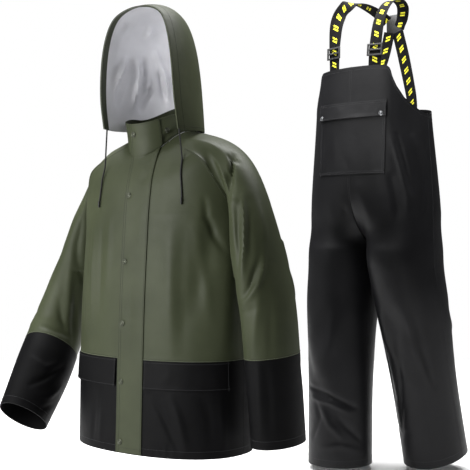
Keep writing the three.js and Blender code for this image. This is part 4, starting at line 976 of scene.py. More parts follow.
def solid(name, points, faces, materials, which=None, uv=None, sharp=42.0):
    """A mesh object from points in millimetres of the shared frame."""
    mesh = bpy.data.meshes.new(name)
    mesh.from_pydata((np.asarray(points) * MM).tolist(), [], faces)
    for item in materials:
        mesh.materials.append(item)
    if which is not None:
        mesh.polygons.foreach_set("material_index", which)
    if uv is not None:
        layer = mesh.uv_layers.new(name="cloth")
        corners = np.empty(len(mesh.loops), np.int32)
        mesh.loops.foreach_get("vertex_index", corners)
        layer.data.foreach_set("uv", np.asarray(uv, np.float32)[corners].ravel())
    mesh.polygons.foreach_set("use_smooth", [True] * len(mesh.polygons))
    mesh.set_sharp_from_angle(angle=math.radians(sharp))
    mesh.validate()
    mesh.update()
    return put_in_scene(name, mesh)


def finish_piece(made, nodes):
    """The piece stands for its CAD nodes and moves with the suit."""
    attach(made, "root")
    if nodes:
        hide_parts(*nodes)
    return made


def wall_faces(rows, cols, ring, flip):
    """Quads of a closed cloth wall, outer grid first and inner grid after it."""
    faces, which = [], []

    def at(r, c, layer):
        return layer * rows * cols + r * cols + c % cols

    def quad(kind, *corners):
        faces.append(corners[::-1] if flip else corners)
        which.append(kind)

    wide = cols if ring else cols - 1
    for r in range(rows - 1):
        for c in range(wide):
            quad(0, at(r, c, 0), at(r, c + 1, 0), at(r + 1, c + 1, 0), at(r + 1, c, 0))
            quad(1, at(r, c, 1), at(r + 1, c, 1), at(r + 1, c + 1, 1), at(r, c + 1, 1))
    top = rows - 1
    for c in range(wide):
        quad(0, at(0, c, 0), at(0, c, 1), at(0, c + 1, 1), at(0, c + 1, 0))
        quad(0, at(top, c, 0), at(top, c + 1, 0), at(top, c + 1, 1), at(top, c, 1))
    if not ring:
        end = cols - 1
        for r in range(rows - 1):
            quad(0, at(r, 0, 0), at(r + 1, 0, 0), at(r + 1, 0, 1), at(r, 0, 1))
            quad(0, at(r, end, 0), at(r, end, 1), at(r + 1, end, 1), at(r + 1, end, 0))
    return faces, which


def outward_volume(points, faces):
    """Six times the volume that quads enclose, less than zero when they face inwards."""
    quads = points[np.array(faces)]
    a, b, c, d = (quads[:, k] for k in range(4))
    first = np.einsum("ij,ij->i", a, np.cross(b, c))
    second = np.einsum("ij,ij->i", a, np.cross(c, d))
    return float((first + second).sum())


CLOTH = {}


def cloth_piece(
    name, grid, inside, place, materials, nodes, ring=False, depth=0.0, thick=2.0, lining=0.0
):
    """A cloth wall on a grid, creased by depth, in the shared frame, with its outer surface kept for the
    stitching.
    """
    normals = normals_of(grid, inside, ring)
    depth = np.broadcast_to(depth, grid.shape[:2])[..., None]
    outer = grid + normals * depth
    inner = outer - normals * np.broadcast_to(thick + np.asarray(lining), grid.shape[:2])[..., None]
    outer, inner = place(outer), place(inner)
    rows, cols = grid.shape[:2]
    points = np.concatenate([outer.reshape(-1, 3), inner.reshape(-1, 3)])
    faces, which = wall_faces(rows, cols, ring, False)
    if outward_volume(points, faces) < 0:
        faces, which = wall_faces(rows, cols, ring, True)
    steps_up = np.linalg.norm(np.diff(outer, axis=0), axis=2).mean(axis=1)
    steps_across = np.linalg.norm(np.diff(outer, axis=1), axis=2).mean(axis=0)
    v = np.concatenate([[0], np.cumsum(steps_up)]) * MM
    u = np.concatenate([[0], np.cumsum(steps_across)]) * MM
    uv = np.stack(np.broadcast_arrays(u[None, :], v[:, None]), axis=-1).reshape(-1, 2)
    made = solid(name, points, faces, materials, which, np.concatenate([uv, uv]))
    finish_piece(made, nodes)
    CLOTH[name] = (outer, normals_of(outer, place(np.asarray(inside, float)[None, None, :])[0, 0], ring))
    return made


# Pieces of the jacket

# Points inside the garments, which tell a cloth's outer side from its inner one.
CHEST_MIDDLE = (0.0, 0.0, -400.0)
SHOULDER_MIDDLE = (250, 0, -200)
LEG_MIDDLE = (105, 0, -300)
# About how wide and tall the panels are in millimetres, which sets how finely they are divided.
FRONT_WIDE, BACK_WIDE, UPPER_TALL, BIB_PANEL_WIDE, BIB_PANEL_TALL = 380, 700, 600, 310, 1180
COLOUR_TO_UNDERARM, UNDERARM_TO_NECK, HEM_TO_COLOUR = 331, 300, 233
# A seam allowance under the cloth: how wide it is on panels and on small pieces, and its step.
ALLOWANCE, SMALL_ALLOWANCE, CLOTH_STEP, FLAP_STEP = 7, 6, 0.5, 0.4
# The bib's cloth at its seams, where two panels share the room, and between them.
SEAM_THICK, BIB_THICK = 0.5, 1.7
CENTRE_GAP = 0.02
# Half of a seam's gap, in rows of the body and of the sleeves.
COLOUR_SEAM, SLEEVE_SEAM = 0.0008, 0.0018
# From one sleeve station to the next, about.
STATION_GAP = 120
SEAM_SHRINK = 0.04
PITCH = 5.0
# How many times a grid is smoothed over the shoulder and at the crotch.
CAP_ROUNDS, CROTCH_ROUNDS = 110, 180
# How far the hood's backing hangs loose in millimetres, and how much fuller than the shell it folds.
LINING_LOOSE, LINING_FULL = 8, 5.0


def span_steps(low, high, size, pitch):
    """Evenly spaced values from low to high, about a pitch apart over that size in millimetres."""
    return np.linspace(low, high, max(2, round(size / pitch)) + 1)


def seam_band(grid, edges, wide, rise, sizes):
    """A soft step up along chosen edges of a grid, where the seam allowance lies under the cloth."""
    rows, cols = grid.shape[:2]
    up, across = np.linspace(0, sizes[1], rows)[:, None], np.linspace(0, sizes[0], cols)[None, :]
    gaps = {"bottom": up, "top": sizes[1] - up, "start": across, "end": sizes[0] - across}
    near = np.full((rows, cols), 1e9)
    for edge in edges:
        near = np.minimum(near, gaps[edge])
    return rise * (1 - smoothstep(near, wide, wide + 2.5))


def front_panel(rows, side):
    """The body's surface from the front edge to the side or raglan seam."""
    end = panel_degrees(rows, "front") - SEAM_SHRINK
    share = span_steps(0, 1, FRONT_WIDE, PITCH)
    degrees = SEAM_SHRINK + (end - SEAM_SHRINK)[:, None] * share[None, :]
    return body_point(side * degrees, np.broadcast_to(rows[:, None], degrees.shape))


def back_panel(rows):
    """The body's surface from one side or raglan seam round the back to the other."""
    span = 180 - panel_degrees(rows, "back") - SEAM_SHRINK
    share = span_steps(-1, 1, BACK_WIDE, PITCH)
    degrees = 180 + span[:, None] * share[None, :]
    return body_point(degrees, np.broadcast_to(rows[:, None], degrees.shape))


def build_jacket_body():
    """Olive upper panels and black lower ones, each up to its seams."""
    upper = np.concatenate(
        [
            span_steps(COLOUR_ROW + COLOUR_SEAM, UNDERARM_ROW, COLOUR_TO_UNDERARM, PITCH),
            span_steps(UNDERARM_ROW, NECK_ROW, UNDERARM_TO_NECK, PITCH)[1:],
        ]
    )
    lower = span_steps(HEM_ROW, COLOUR_ROW - COLOUR_SEAM, HEM_TO_COLOUR, PITCH)
    olive, black, inner = material("olive"), material("black"), material("silver")
    for name, side in SIDES.items():
        grid = front_panel(upper, side)
        band = seam_band(grid, ("bottom", "end"), ALLOWANCE, CLOTH_STEP, (FRONT_WIDE, UPPER_TALL))
        cloth_piece(
            f"front_{name}_cloth", grid, CHEST_MIDDLE, on_jacket, [olive, inner],
            [f"jacket_front_{name}"], depth=band,
        )
        grid = front_panel(lower, side)
        cloth_piece(
            f"lower_front_{name}_cloth", grid, CHEST_MIDDLE, on_jacket_level, [black, inner],
            [f"jacket_lower_front_{name}"],
        )
    grid = back_panel(upper)
    sewn = ("bottom", "start", "end")
    band = seam_band(grid, sewn, ALLOWANCE, CLOTH_STEP, (BACK_WIDE, UPPER_TALL))
    cloth_piece(
        "back_cloth", grid, CHEST_MIDDLE, on_jacket, [olive, inner],
        ["jacket_back"], depth=band,
    )
    cloth_piece(
        "lower_back_cloth", back_panel(lower), CHEST_MIDDLE, on_jacket_level, [black, inner],
        ["jacket_lower_back"],
    )


def eased_cap(grid, rows):
    """The sleeve's grid with its cap smoothed, where the cloth runs over the shoulder in one sweep."""
    weight = (0.5 * (1 - smoothstep(rows, -0.2, 0.9)))[:, None, None]
    weight[0] = 0
    for _ in range(CAP_ROUNDS):
        around = (np.roll(grid, 1, axis=1) + np.roll(grid, -1, axis=1)) / 2
        along = grid.copy()
        along[1:-1] = (grid[:-2] + grid[2:]) / 2
        grid = grid + weight * ((around + along) / 2 - grid)
    return grid


def build_sleeves():
    """Raglan sleeves in two colours, open at the cuffs."""
    olive, black, inner = material("olive"), material("black"), material("silver")
    shares = np.linspace(0, 1, 97)[:-1]
    for name, side in SIDES.items():
        seam = SLEEVE_COLOUR_ROW[name]
        end = len(SLEEVES[name]["x"]) - 1.0
        down = span_steps(0, seam - SLEEVE_SEAM, STATION_GAP * seam, PITCH)
        upper = np.concatenate([np.linspace(-1, 0, 50), down[1:]])
        lower = span_steps(seam + SLEEVE_SEAM, end, STATION_GAP * (end - seam), PITCH)
        for part, rows, coat, slot, place in (
            ("upper", upper, olive, "coated_olive", on_jacket),
            ("lower", lower, black, "coated_black", on_jacket_level),
        ):
            grid = eased_cap(sleeve_grid(name, rows, shares), rows)
            within = inner if part == "upper" else material("black_inside")
            x, y, z = SHOULDER_MIDDLE
            middle = (side * x, y, z) if part == "upper" else tuple(grid.mean(axis=(0, 1)))
            cloth_piece(
                f"sleeve_{name}_{part}_cloth", grid, middle, place, [coat, within],
                [f"sleeve_{name}_{part}"], ring=True, depth=sleeve_depth(name, rows, shares),
            )


def build_hood():
    """The hood's two panels, smooth outside and with a loose backing inside."""
    olive, silver = material("olive"), material("silver")
    eased = np.sin(np.pi / 2 * np.linspace(0, 1, 61))
    for name, side in SIDES.items():
        up, back = np.meshgrid(eased, eased, indexing="ij")
        grid = hood_point(back, up, side)
        calm = smoothstep(back, 0.12, 0.3) * (1 - smoothstep(back, 0.93, 1.0))
        calm = calm * (1 - smoothstep(up, 0.85, 0.97))
        folds = crease_depth(HOOD_CREASES[name], grid, lambda a, b, side=side: hood_point(a, b, side))
        wrinkles = np.maximum(0, LINING_LOOSE - LINING_FULL * folds) * calm
        cloth_piece(
            f"hood_{name}_cloth", grid, HOOD_MIDDLE, on_hood, [olive, silver],
            [f"hood_{name}"], lining=wrinkles,
        )


def eased_crotch(grid, row, share):
    """A leg's panel with its cloth smoothed where the legs grow out of the body."""
    rising = smoothstep(row, LEG_ROWS - 2.8, LEG_ROWS - 1.2)
    falling = 1 - smoothstep(row, LEG_ROWS + 2.5, LEG_ROWS + 3.6)
    beside = smoothstep(share, 0.0, 0.08) * (1 - smoothstep(share, 0.9, 1.0))
    weight = 0.5 * (rising * falling * beside)[..., None]
    for _ in range(CROTCH_ROUNDS):
        mean = grid.copy()
        mean[1:-1, 1:-1] = (grid[:-2, 1:-1] + grid[2:, 1:-1] + grid[1:-1, :-2] + grid[1:-1, 2:]) / 4
        grid = grid + weight * (mean - grid)
    return grid


def build_bib():
    """The bib overalls' four panels, each from its top edge down a leg to the hem."""
    black, inner = material("bib_black"), material("black_inside")
    legs, body = np.linspace(0, LEG_ROWS - 1, 128), np.linspace(LEG_ROWS - 0.94, BIB_TOP_ROW, 120)
    rows = np.concatenate([legs, body])
    shares = np.linspace(0, 1, 66)
    for name, side in SIDES.items():
        for end, face in (("front", -1), ("back", 1)):
            row, share = np.meshgrid(rows, shares, indexing="ij")
            grid = eased_crotch(bib_point(name, share, face, row), row, share)
            grid[..., 0] += side * CENTRE_GAP
            between = smoothstep(share, 0.0, 0.08) * (1 - smoothstep(share, 0.94, 1.0))
            thick = SEAM_THICK + (BIB_THICK - SEAM_THICK) * between
            edges = ("start", "end", "top") if (end, name) == ("front", "left") else ("end", "top")
            sizes = (BIB_PANEL_WIDE, BIB_PANEL_TALL)
            band = seam_band(grid, edges if face < 0 else ("top",), ALLOWANCE, CLOTH_STEP, sizes)
            x, y, z = LEG_MIDDLE
            cloth_piece(
                f"bib_{end}_{name}_cloth", grid, (side * x, y, z), on_bib, [black, inner],
                [f"bib_{end}_{name}"], depth=band, thick=thick,
            )


def row_at_height(z):
    """The jacket body's row at a height below the underarm, where each ring is level."""
    return row_where(0.0, float(UNDERARM_ROW), lambda row: smooth_at(BODY["z_front"], row) < z)


def front_row(x, z):
    """The row up the jacket's front, over body and collar, where the front is at a height."""
    return row_where(0.0, NECK_ROW + 1.0, lambda row: over_front(x, row, 0.0)[2] < z)


SNAP_ROWS = [front_row(SNAP_X, z) for z in SNAP_HEIGHTS]


def dimples(points, centres, wide, deep):
    """Soft hollows round fasteners, where the cloth is pressed in."""
    depth = np.zeros(points.shape[:2])
    for centre in centres:
        away = np.linalg.norm(points - centre, axis=-1)
        rim = 0.35 * np.exp(-(((away - 1.9 * wide) / wide) ** 2))
        depth = depth + deep * (rim - np.exp(-((away / wide) ** 2)))
    return depth


def build_collar():
    """A standing collar, open in front under the placket."""
    olive = material("olive")
    rows = np.linspace(0, 2, 19)
    degrees = np.linspace(2, 358, 140)
    place, angle = np.meshgrid(rows, degrees, indexing="ij")
    grid = collar_point(angle, place)
    depth = crease_depth(COLLAR_CREASES, grid, collar_point) * smoothstep(place, 0.0, 0.4)
    cloth_piece(
        # The collar's inner face takes the darker olive of painted shade.
        "collar_cloth", grid, (0, 0, 10), on_jacket, [olive, material("olive_painted_shade")],
        ["collar"], depth=depth,
    )


# The placket's stretches from the hem to the top of the collar, in millimetres.
HEM_TO_UNDERARM, CHEST_TALL, COLLAR_TALL = 560, 180, 90
PLACKET_TALL = HEM_TO_UNDERARM + CHEST_TALL + COLLAR_TALL


def build_placket():
    """The wind flap down the front, free along one edge and sewn along the other."""
    olive = material("olive")
    rows = np.concatenate(
        [
            span_steps(HEM_ROW + 0.01, UNDERARM_ROW, HEM_TO_UNDERARM, 4.5),
            span_steps(UNDERARM_ROW, NECK_ROW, CHEST_TALL, 4.0)[1:],
            span_steps(NECK_ROW, NECK_ROW + 1, COLLAR_TALL, 4.0)[1:],
        ]
    )
    x, row = np.meshgrid(np.linspace(PLACKET_FREE, PLACKET_SEWN, 21), rows, indexing="xy")
    corner = np.maximum(0, 1 - np.abs(row - NECK_ROW) / 0.6)
    out = PLACKET_OUT + np.where(row > NECK_ROW, 0.3, -0.1) + 2.2 * corner
    grid = over_front(x, row, out)
    centres = [over_front(SNAP_X, r, PLACKET_OUT) for r in SNAP_ROWS]
    sizes = (PLACKET_SEWN - PLACKET_FREE, PLACKET_TALL)
    depth = dimples(grid, centres, *SNAP_HOLLOW)
    depth = depth + seam_band(grid, ("start",), SMALL_ALLOWANCE, CLOTH_STEP, sizes)
    depth = depth + crease_depth(PLACKET_CREASES, grid, lambda a, b: over_front(a, b, PLACKET_OUT))
    cloth_piece(
        "placket_cloth", grid, CHEST_MIDDLE, on_jacket, [olive, olive],
        ["placket"], depth=depth,
    )


def build_pocket_flaps():
    """The two flaps that hang from the colour seam over the jacket's pockets."""
    black, sewn = material("black"), ("bottom", "start", "end")
    for name, side in SIDES.items():
        near = float(degrees_at_x(BODY, JACKET_FLAP_STARTS[name], float(COLOUR_ROW)))
        wide = DEGREE_WIDE * (JACKET_FLAP_END - near)
        low, high = JACKET_FLAP_HEIGHTS
        rows = span_steps(row_at_height(low), row_at_height(high), high - low, 4)
        degrees = span_steps(near, JACKET_FLAP_END, wide, 4.5)
        row, angle = np.meshgrid(rows, degrees, indexing="ij")
        share = (rows[-1] - row) / (rows[-1] - rows[0])
        grid = body_point(side * angle, row, JACKET_FLAP_OUT + JACKET_FLAP_LIFT * share, fine=False)

        def plain(a, b, side=side):
            return body_point(side * a, b, JACKET_FLAP_OUT, fine=False)

        depth = crease_depth(JACKET_FLAP_CREASES, grid, plain) * share
        depth = depth + seam_band(grid, sewn, SMALL_ALLOWANCE, FLAP_STEP, (wide, high - low))
        cloth_piece(
            f"pocket_flap_{name}_cloth", grid, CHEST_MIDDLE, on_jacket_level, [black, black],
            [f"pocket_flap_{name}"], depth=depth,
        )


def tunnel_point(back, turn, inward):
    """The turned band inside the hood's face edge, from one lower corner over the top to the other."""
    back, turn = np.broadcast_arrays(np.asarray(back, float), np.asarray(turn, float))
    up = np.sin(np.pi / 2 * (1 - np.abs(turn)))
    found = np.zeros(back.shape + (3,))
    for side in SIDES.values():

        def plain(a, b, side=side):
            return hood_point(np.clip(a, 0, 1), np.clip(b, 0, 1), side)

        point = plain(back, up)
        normal = outward(plain, np.maximum(back, 0.02), np.minimum(up, 0.98), 0.01, 0.01)
        out = np.sum(normal * (point - np.array(HOOD_MIDDLE)), axis=-1, keepdims=True)
        moved = point - np.sign(out) * normal * inward
        found = np.where((turn * side > 0)[..., None], moved, found)
    middle = hood_point(back, np.ones(back.shape), 1)
    crown = np.stack([np.zeros(back.shape), middle[..., 1], middle[..., 2] - inward], axis=-1)
    return np.where((np.abs(turn) < 0.001)[..., None], crown, found)


def build_hood_tunnel():
    """The band turned in round the hood's face opening, which holds the drawcord."""
    olive = material("olive")
    rows = np.linspace(0.002, TUNNEL_WIDE / HOOD_LENGTH, 7)
    turns = np.linspace(-1, 1, 121)
    back, turn = np.meshgrid(rows, turns, indexing="ij")
    grid = tunnel_point(back, turn, TUNNEL_IN)
    cloth_piece(
        "hood_tunnel_cloth", grid, HOOD_MIDDLE, on_hood, [olive, olive],
        ["hood_tunnel"], thick=TUNNEL_THICK,
    )


# Turned and pressed fasteners


def lathe(name, profile, point, direction, materials, nodes, count=32):
    """A turned piece on a profile of (radius, height) in millimetres, standing on a point."""
    profile = np.array(profile, float)
    direction = unit(np.asarray(direction, float))
    side = unit(np.cross(direction, [0.0, 0.0, 1.0]))
    other = np.cross(direction, side)
    angles = np.linspace(0, 2 * np.pi, count, endpoint=False)
    ring = np.cos(angles)[:, None] * side + np.sin(angles)[:, None] * other
    points = [np.asarray(point, float) + direction * profile[0][1]]
    faces = []
    for radius, height in profile[1:-1]:
        points.extend(np.asarray(point, float) + direction * height + ring * radius)
    points.append(np.asarray(point, float) + direction * profile[-1][1])
    layers = len(profile) - 2
    last = len(points) - 1
    for k in range(count):
        n = (k + 1) % count
        faces.append((0, 1 + n, 1 + k))
        for layer in range(layers - 1):
            a, b = 1 + layer * count, 1 + (layer + 1) * count
            faces.append((a + k, a + n, b + n, b + k))
        faces.append((last, 1 + (layers - 1) * count + k, 1 + (layers - 1) * count + n))
    made = solid(name, np.array(points), faces, materials, sharp=35)
    return finish_piece(made, nodes)


SNAP_PROFILE = [
    (0, 0), (6.2, 0), (6.9, 0.25), (7.0, 0.9), (6.7, 1.5), (6.0, 1.75), (5.3, 1.5), (4.9, 1.2),
    (4.4, 1.25), (3.8, 1.9), (2.6, 2.5), (1.2, 2.8), (0, 2.85),
]


def build_jacket_snaps():
    """Six snaps down the placket and one on the collar."""
    gunmetal = [material("gunmetal")]
    for i, row in enumerate(SNAP_ROWS):
        point = over_front(SNAP_X, row, SNAP_OUT + (TOP_SNAP_LIFT if i == 0 else 0.0))
        beside = [over_front(SNAP_X + a, row + b, 0.0) for a, b in ((2, 0), (-2, 0), (0, 0.01), (0, -0.01))]
        direction = unit(np.cross(beside[0] - beside[1], beside[2] - beside[3]))
        lathe(
            f"snap_placket_{i + 1}_cap", SNAP_PROFILE, on_jacket_level(point), on_jacket_level(direction),
            gunmetal, [f"snap_placket_{i + 1}"],
        )
    degrees = float(degrees_at_x(COLLAR, COLLAR_SNAP_X, COLLAR_SNAP_ROW))
    point = collar_point(degrees, COLLAR_SNAP_ROW, 0.1)

    def plain(a, b):
        return ring_point(COLLAR, a, b)

    direction = outward(plain, np.array(degrees), np.array(COLLAR_SNAP_ROW), 0.5, 0.01)
    lathe(
        "snap_collar_cap", SNAP_PROFILE, on_jacket_level(point), on_jacket_level(direction),
        gunmetal, ["snap_collar"],
    )


# Bib pocket, flap and its snaps


def build_bib_pocket():
    """The chest pocket, the flap that lies over it and the flap's two snaps."""
    black, half, sewn = material("bib_black"), POCKET_HALF, ("bottom", "start", "end")
    tall = POCKET_TOP - POCKET_BOTTOM
    rows, across = span_steps(POCKET_BOTTOM, POCKET_TOP, tall, 4.5), span_steps(-half, half, 2 * half, 4.5)
    z, x = np.meshgrid(rows, across, indexing="ij")
    grid = over_bib(x, z, POCKET_OUT)
    depth = crease_depth(BIB_POCKET_CREASES, grid, lambda a, b: over_bib(a, b, POCKET_OUT))
    depth = depth * smoothstep(half - np.abs(x), 4, 30)
    depth = depth + seam_band(grid, sewn, ALLOWANCE, CLOTH_STEP, (2 * half, tall))
    cloth_piece(
        "bib_pocket_cloth", grid, (0, 0, 0), on_bib, [black, black], ["bib_pocket"],
        depth=depth,
    )
    half, tall = POCKET_HALF + 1, FLAP_TOP - FLAP_BOTTOM
    rows, across = span_steps(FLAP_BOTTOM, FLAP_TOP, tall, 3.5), span_steps(-half, half, 2 * half, 4)
    z, x = np.meshgrid(rows, across, indexing="ij")
    grid = over_bib(x, z, BIB_FLAP_OUT + FLAP_LIFT * (FLAP_TOP - z) / tall)
    centres = [over_bib(side * FLAP_SNAP_X, FLAP_SNAP_Z, 8.4) for side in SIDES.values()]
    depth = dimples(grid, centres, *FLAP_SNAP_HOLLOW)
    depth = depth + crease_depth(BIB_FLAP_CREASES, grid, lambda a, b: over_bib(a, b, BIB_FLAP_OUT + 1))
    depth = depth + seam_band(grid, sewn, SMALL_ALLOWANCE, FLAP_STEP, (2 * half, tall))
    cloth_piece(
        "bib_flap_cloth", grid, (0, 0, 0), on_bib, [black, black], ["bib_pocket_flap"],
        depth=depth,
    )
    rise = BIB_FLAP_OUT + FLAP_LIFT * (FLAP_TOP - FLAP_SNAP_Z) / tall
    for name, side in SIDES.items():
        low, at, high = (over_bib(side * FLAP_SNAP_X, FLAP_SNAP_Z, rise + out) for out in (-0.3, 0, 5))
        lathe(
            f"snap_flap_{name}_cap", SNAP_PROFILE, on_bib(low), turned(unit(high - at), BIB_TURN),
            [material("nickel")], [f"snap_flap_{name}"],
        )


# Braces


def strap_frame(t, place):
    """A strap's middle line, its run, the direction across it and the one out of its face."""
    centre = np.stack([smooth_at(t[k], place) for k in "xyz"], axis=-1)
    last = len(t["x"]) - 1
    ahead = np.stack([smooth_at(t[k], np.minimum(place + 0.02, last)) for k in "xyz"], axis=-1)
    behind = np.stack([smooth_at(t[k], np.maximum(place - 0.02, 0)) for k in "xyz"], axis=-1)
    run = unit(ahead - behind)
    across = np.zeros_like(run)
    across[..., 0] = 1
    across = unit(across - run * np.sum(across * run, axis=-1, keepdims=True))
    turn = np.radians(smooth_at(t["turn"], place))[..., None]
    across = across * np.cos(turn) + np.cross(run, across) * np.sin(turn)
    return centre, run, across, np.cross(across, run)


def swept(name, rings, materials, **how):
    """A closed piece from rings of points along a strap or a cord, in the shared frame."""
    count, k = rings.shape[:2]
    points = rings.reshape(-1, 3)
    faces = [
        (i * k + j, i * k + (j + 1) % k, (i + 1) * k + (j + 1) % k, (i + 1) * k + j)
        for i in range(count - 1) for j in range(k)
    ]
    ends = [tuple(range(k))[::-1], tuple(range((count - 1) * k, count * k))]
    if outward_volume(points, faces) < 0:
        faces, ends = [f[::-1] for f in faces], [f[::-1] for f in ends]
    return solid(name, points, faces + ends, materials, **how)


def build_braces():
    """The four stretches of elastic webbing, each one strap with rounded edges."""
    webbing = material("braces")
    half, edge = STRAP_WIDTH / 2, STRAP_THICK / 2
    under = [
        (-half, -0.55), (-half + 0.8, -edge), (-half + 4, -edge), (0, -edge), (half - 4, -edge),
        (half - 0.8, -edge), (half, -0.55),
    ]
    section = under + [(-a, -b) for a, b in under]
    for name, t in STRAPS.items():
        last = len(t["x"]) - 1
        centre, _, across, out = strap_frame(t, np.linspace(0, last, last * 12 + 1))
        points = np.stack([centre + across * a + out * b for a, b in section], axis=1)
        length = np.concatenate([[0], np.cumsum(np.linalg.norm(np.diff(centre, axis=0), axis=1))])
        wide = np.array([a for a, _ in section])
        uv = np.stack(np.broadcast_arrays(wide[None, :] * MM, length[:, None] * MM), axis=-1).reshape(-1, 2)
        made = swept(f"{name}_strap", on_bib(points), [webbing], uv=uv)
        finish_piece(made, [name])


def softened(name, node, materials, width, segments=2):
    """A copy of a moulded or cut CAD piece with its edges rounded over."""
    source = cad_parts[node]
    mesh = source.data.copy()
    mesh.name = name
    mesh.materials.clear()
    for item in materials:
        mesh.materials.append(item)
    work = bmesh.new()
    work.from_mesh(mesh)
    bmesh.ops.remove_doubles(work, verts=work.verts, dist=2e-5)
    bmesh.ops.dissolve_limit(work, angle_limit=0.02, verts=work.verts, edges=work.edges)
    sharp = [e for e in work.edges if len(e.link_faces) == 2 and e.calc_face_angle(0) > 0.5]
    bmesh.ops.bevel(work, geom=sharp, offset=width * MM, segments=segments, affect="EDGES", profile=0.5)
    for face in work.faces:
        face.material_index = 0
        face.smooth = True
    work.to_mesh(mesh)
    work.free()
    mesh.set_sharp_from_angle(angle=math.radians(40))
    return finish_piece(put_in_scene(name, mesh), [node])


def build_brace_fittings():
    """The two sliders and the patch where the braces meet."""
    for name in SIDES:
        softened(f"slider_{name}_frame", f"slider_{name}", [material("plastic")], 0.9, 3)
    softened("brace_patch_leather", "brace_patch", [material("plastic")], 0.7, 2)


# Drawcords


def chest_row(x, z):
    """The row of the jacket's chest that is at a height at x across."""

    def is_below(row):
        return body_point(degrees_at_x(BODY, x, row), row, fine=False)[2] < z

    return row_where(float(WAIST_ROW), float(NECK_ROW), is_below)


def cord_path(name):
    """From just under the tunnel's lower end, down to lie on the chest."""
    start = tunnel_point(np.array(CORD_LEAVES), np.array(float(SIDES[name])), 2.0)
    start = turned(start, HOOD_TURN - JACKET_TURN)
    start[2] -= 0.3
    end_x, end_z = CORD_ENDS[name]
    path = []
    for share in np.linspace(0, 1, 13):
        x = start[0] + (end_x - start[0]) * share
        z = start[2] + (end_z + CORD_TIP - start[2]) * share
        row = chest_row(x, min(z, -70))
        chest = body_point(degrees_at_x(BODY, x, row), row, fine=False)[1] - CORD_RADIUS - 0.5
        path.append((x, min(start[1], chest), z))
    return np.array(path)


def build_drawcords():
    """The hood's two braided cord ends, each with a moulded tip."""
    cord, tip = material("cord"), material("plastic")
    for name in SIDES:
        rough = cord_path(name)
        t = {k: rough[:, i] for i, k in enumerate("xyz")}
        place = np.linspace(0, 12, 37)
        line = on_jacket_level(np.stack([smooth_at(t[k], place) for k in "xyz"], axis=-1))
        run = unit(np.gradient(line, axis=0))
        side = unit(np.cross(run, [1.0, 0.0, 0.0]))
        other = np.cross(run, side)
        angles = np.linspace(0, 2 * np.pi, 12, endpoint=False)
        turn, rise = np.cos(angles)[None, :, None], np.sin(angles)[None, :, None]
        rings = line[:, None, :] + CORD_RADIUS * (side[:, None, :] * turn + other[:, None, :] * rise)
        made = swept(f"drawcord_{name}_braid", rings, [cord], sharp=60)
        finish_piece(made, [f"drawcord_{name}"])
        end_piece = softened(f"cord_tip_{name}_sleeve", f"cord_tip_{name}", [tip], 0.6, 2)


DASH_REPEAT = 0.038
DASH_SLANT = 0.5
DASH_HALF, GAP_HALF = 0.2, 0.045
DASH_REACH = 0.0078
RIBS, THREADS = 3900.0, 5200.0


def printed_webbing():
    """Black ribbed elastic with plain yellow slanting dashes along its middle, by the strap's own UV."""
    made, tree, shader = new_material("black elastic webbing with yellow dashes")
    link = tree.links.new
    place = add_node(tree, "ShaderNodeUVMap", uv_map="cloth")
    split = add_node(tree, "ShaderNodeSeparateXYZ")
    link(place.outputs["UV"], split.inputs["Vector"])

    def maths(operation, first, second):
        node = add_node(tree, "ShaderNodeMath", operation=operation)
        for socket, value in zip(node.inputs, (first, second)):
            if isinstance(value, float):
                socket.default_value = value
            else:
                link(value, socket)
        return node.outputs["Value"]

    across, along = split.outputs["X"], split.outputs["Y"]
    slant = maths("ADD", along, maths("MULTIPLY", across, DASH_SLANT))
    repeat = maths("FRACT", maths("DIVIDE", slant, DASH_REPEAT), 0.0)
    from_middle = maths("ABSOLUTE", maths("SUBTRACT", repeat, 0.5), 0.0)
    dash = maths("LESS_THAN", from_middle, DASH_HALF)
    gap = maths("GREATER_THAN", from_middle, GAP_HALF)
    middle = maths("LESS_THAN", maths("ABSOLUTE", across, 0.0), DASH_REACH)
    mark = maths("MULTIPLY", maths("MULTIPLY", dash, gap), middle)
    rib = maths("SINE", maths("MULTIPLY", along, RIBS), 0.0)
    thread = maths("SINE", maths("MULTIPLY", across, THREADS), 0.0)
    relief = maths("ADD", rib, maths("MULTIPLY", thread, 0.5))
    colour = add_node(tree, "ShaderNodeMix", data_type="RGBA")
    colour.inputs["A"].default_value = linear("060607")
    colour.inputs["B"].default_value = linear("D8D23A")
    link(mark, colour.inputs["Factor"])
    link(colour.outputs["Result"], shader.inputs["Base Color"])
    bump = add_node(tree, "ShaderNodeBump", {"Strength": 0.35, "Distance": 0.0003})
    link(relief, bump.inputs["Height"])
    link(bump.outputs["Normal"], shader.inputs["Normal"])
    shader.inputs["Roughness"].default_value = 0.8
    shader.inputs["Specular IOR Level"].default_value = 0.12
    return made


MAKERS["braces"] = printed_webbing


# Stitching


STITCH_RISE = 0.12


def inset_line(name, edge, inset):
    """A line of points on a cloth piece, a distance in from one of its edges."""
    outer, normals = CLOTH[name]
    if edge in ("start", "end"):
        outer, normals = outer.transpose(1, 0, 2), normals.transpose(1, 0, 2)
    if edge in ("top", "end"):
        outer, normals = outer[::-1], normals[::-1]
    steps = np.linalg.norm(np.diff(outer[:40], axis=0), axis=2)
    reach = np.concatenate([np.zeros((1, steps.shape[1])), np.cumsum(steps, axis=0)])
    line = []
    for c in range(outer.shape[1]):
        row = np.interp(inset, reach[:, c], np.arange(len(reach)))
        i = min(int(row), outer.shape[0] - 2)
        f = row - i
        point = outer[i, c] * (1 - f) + outer[i + 1, c] * f
        line.append(point + unit(normals[i, c] * (1 - f) + normals[i + 1, c] * f) * STITCH_RISE)
    return np.array(line)


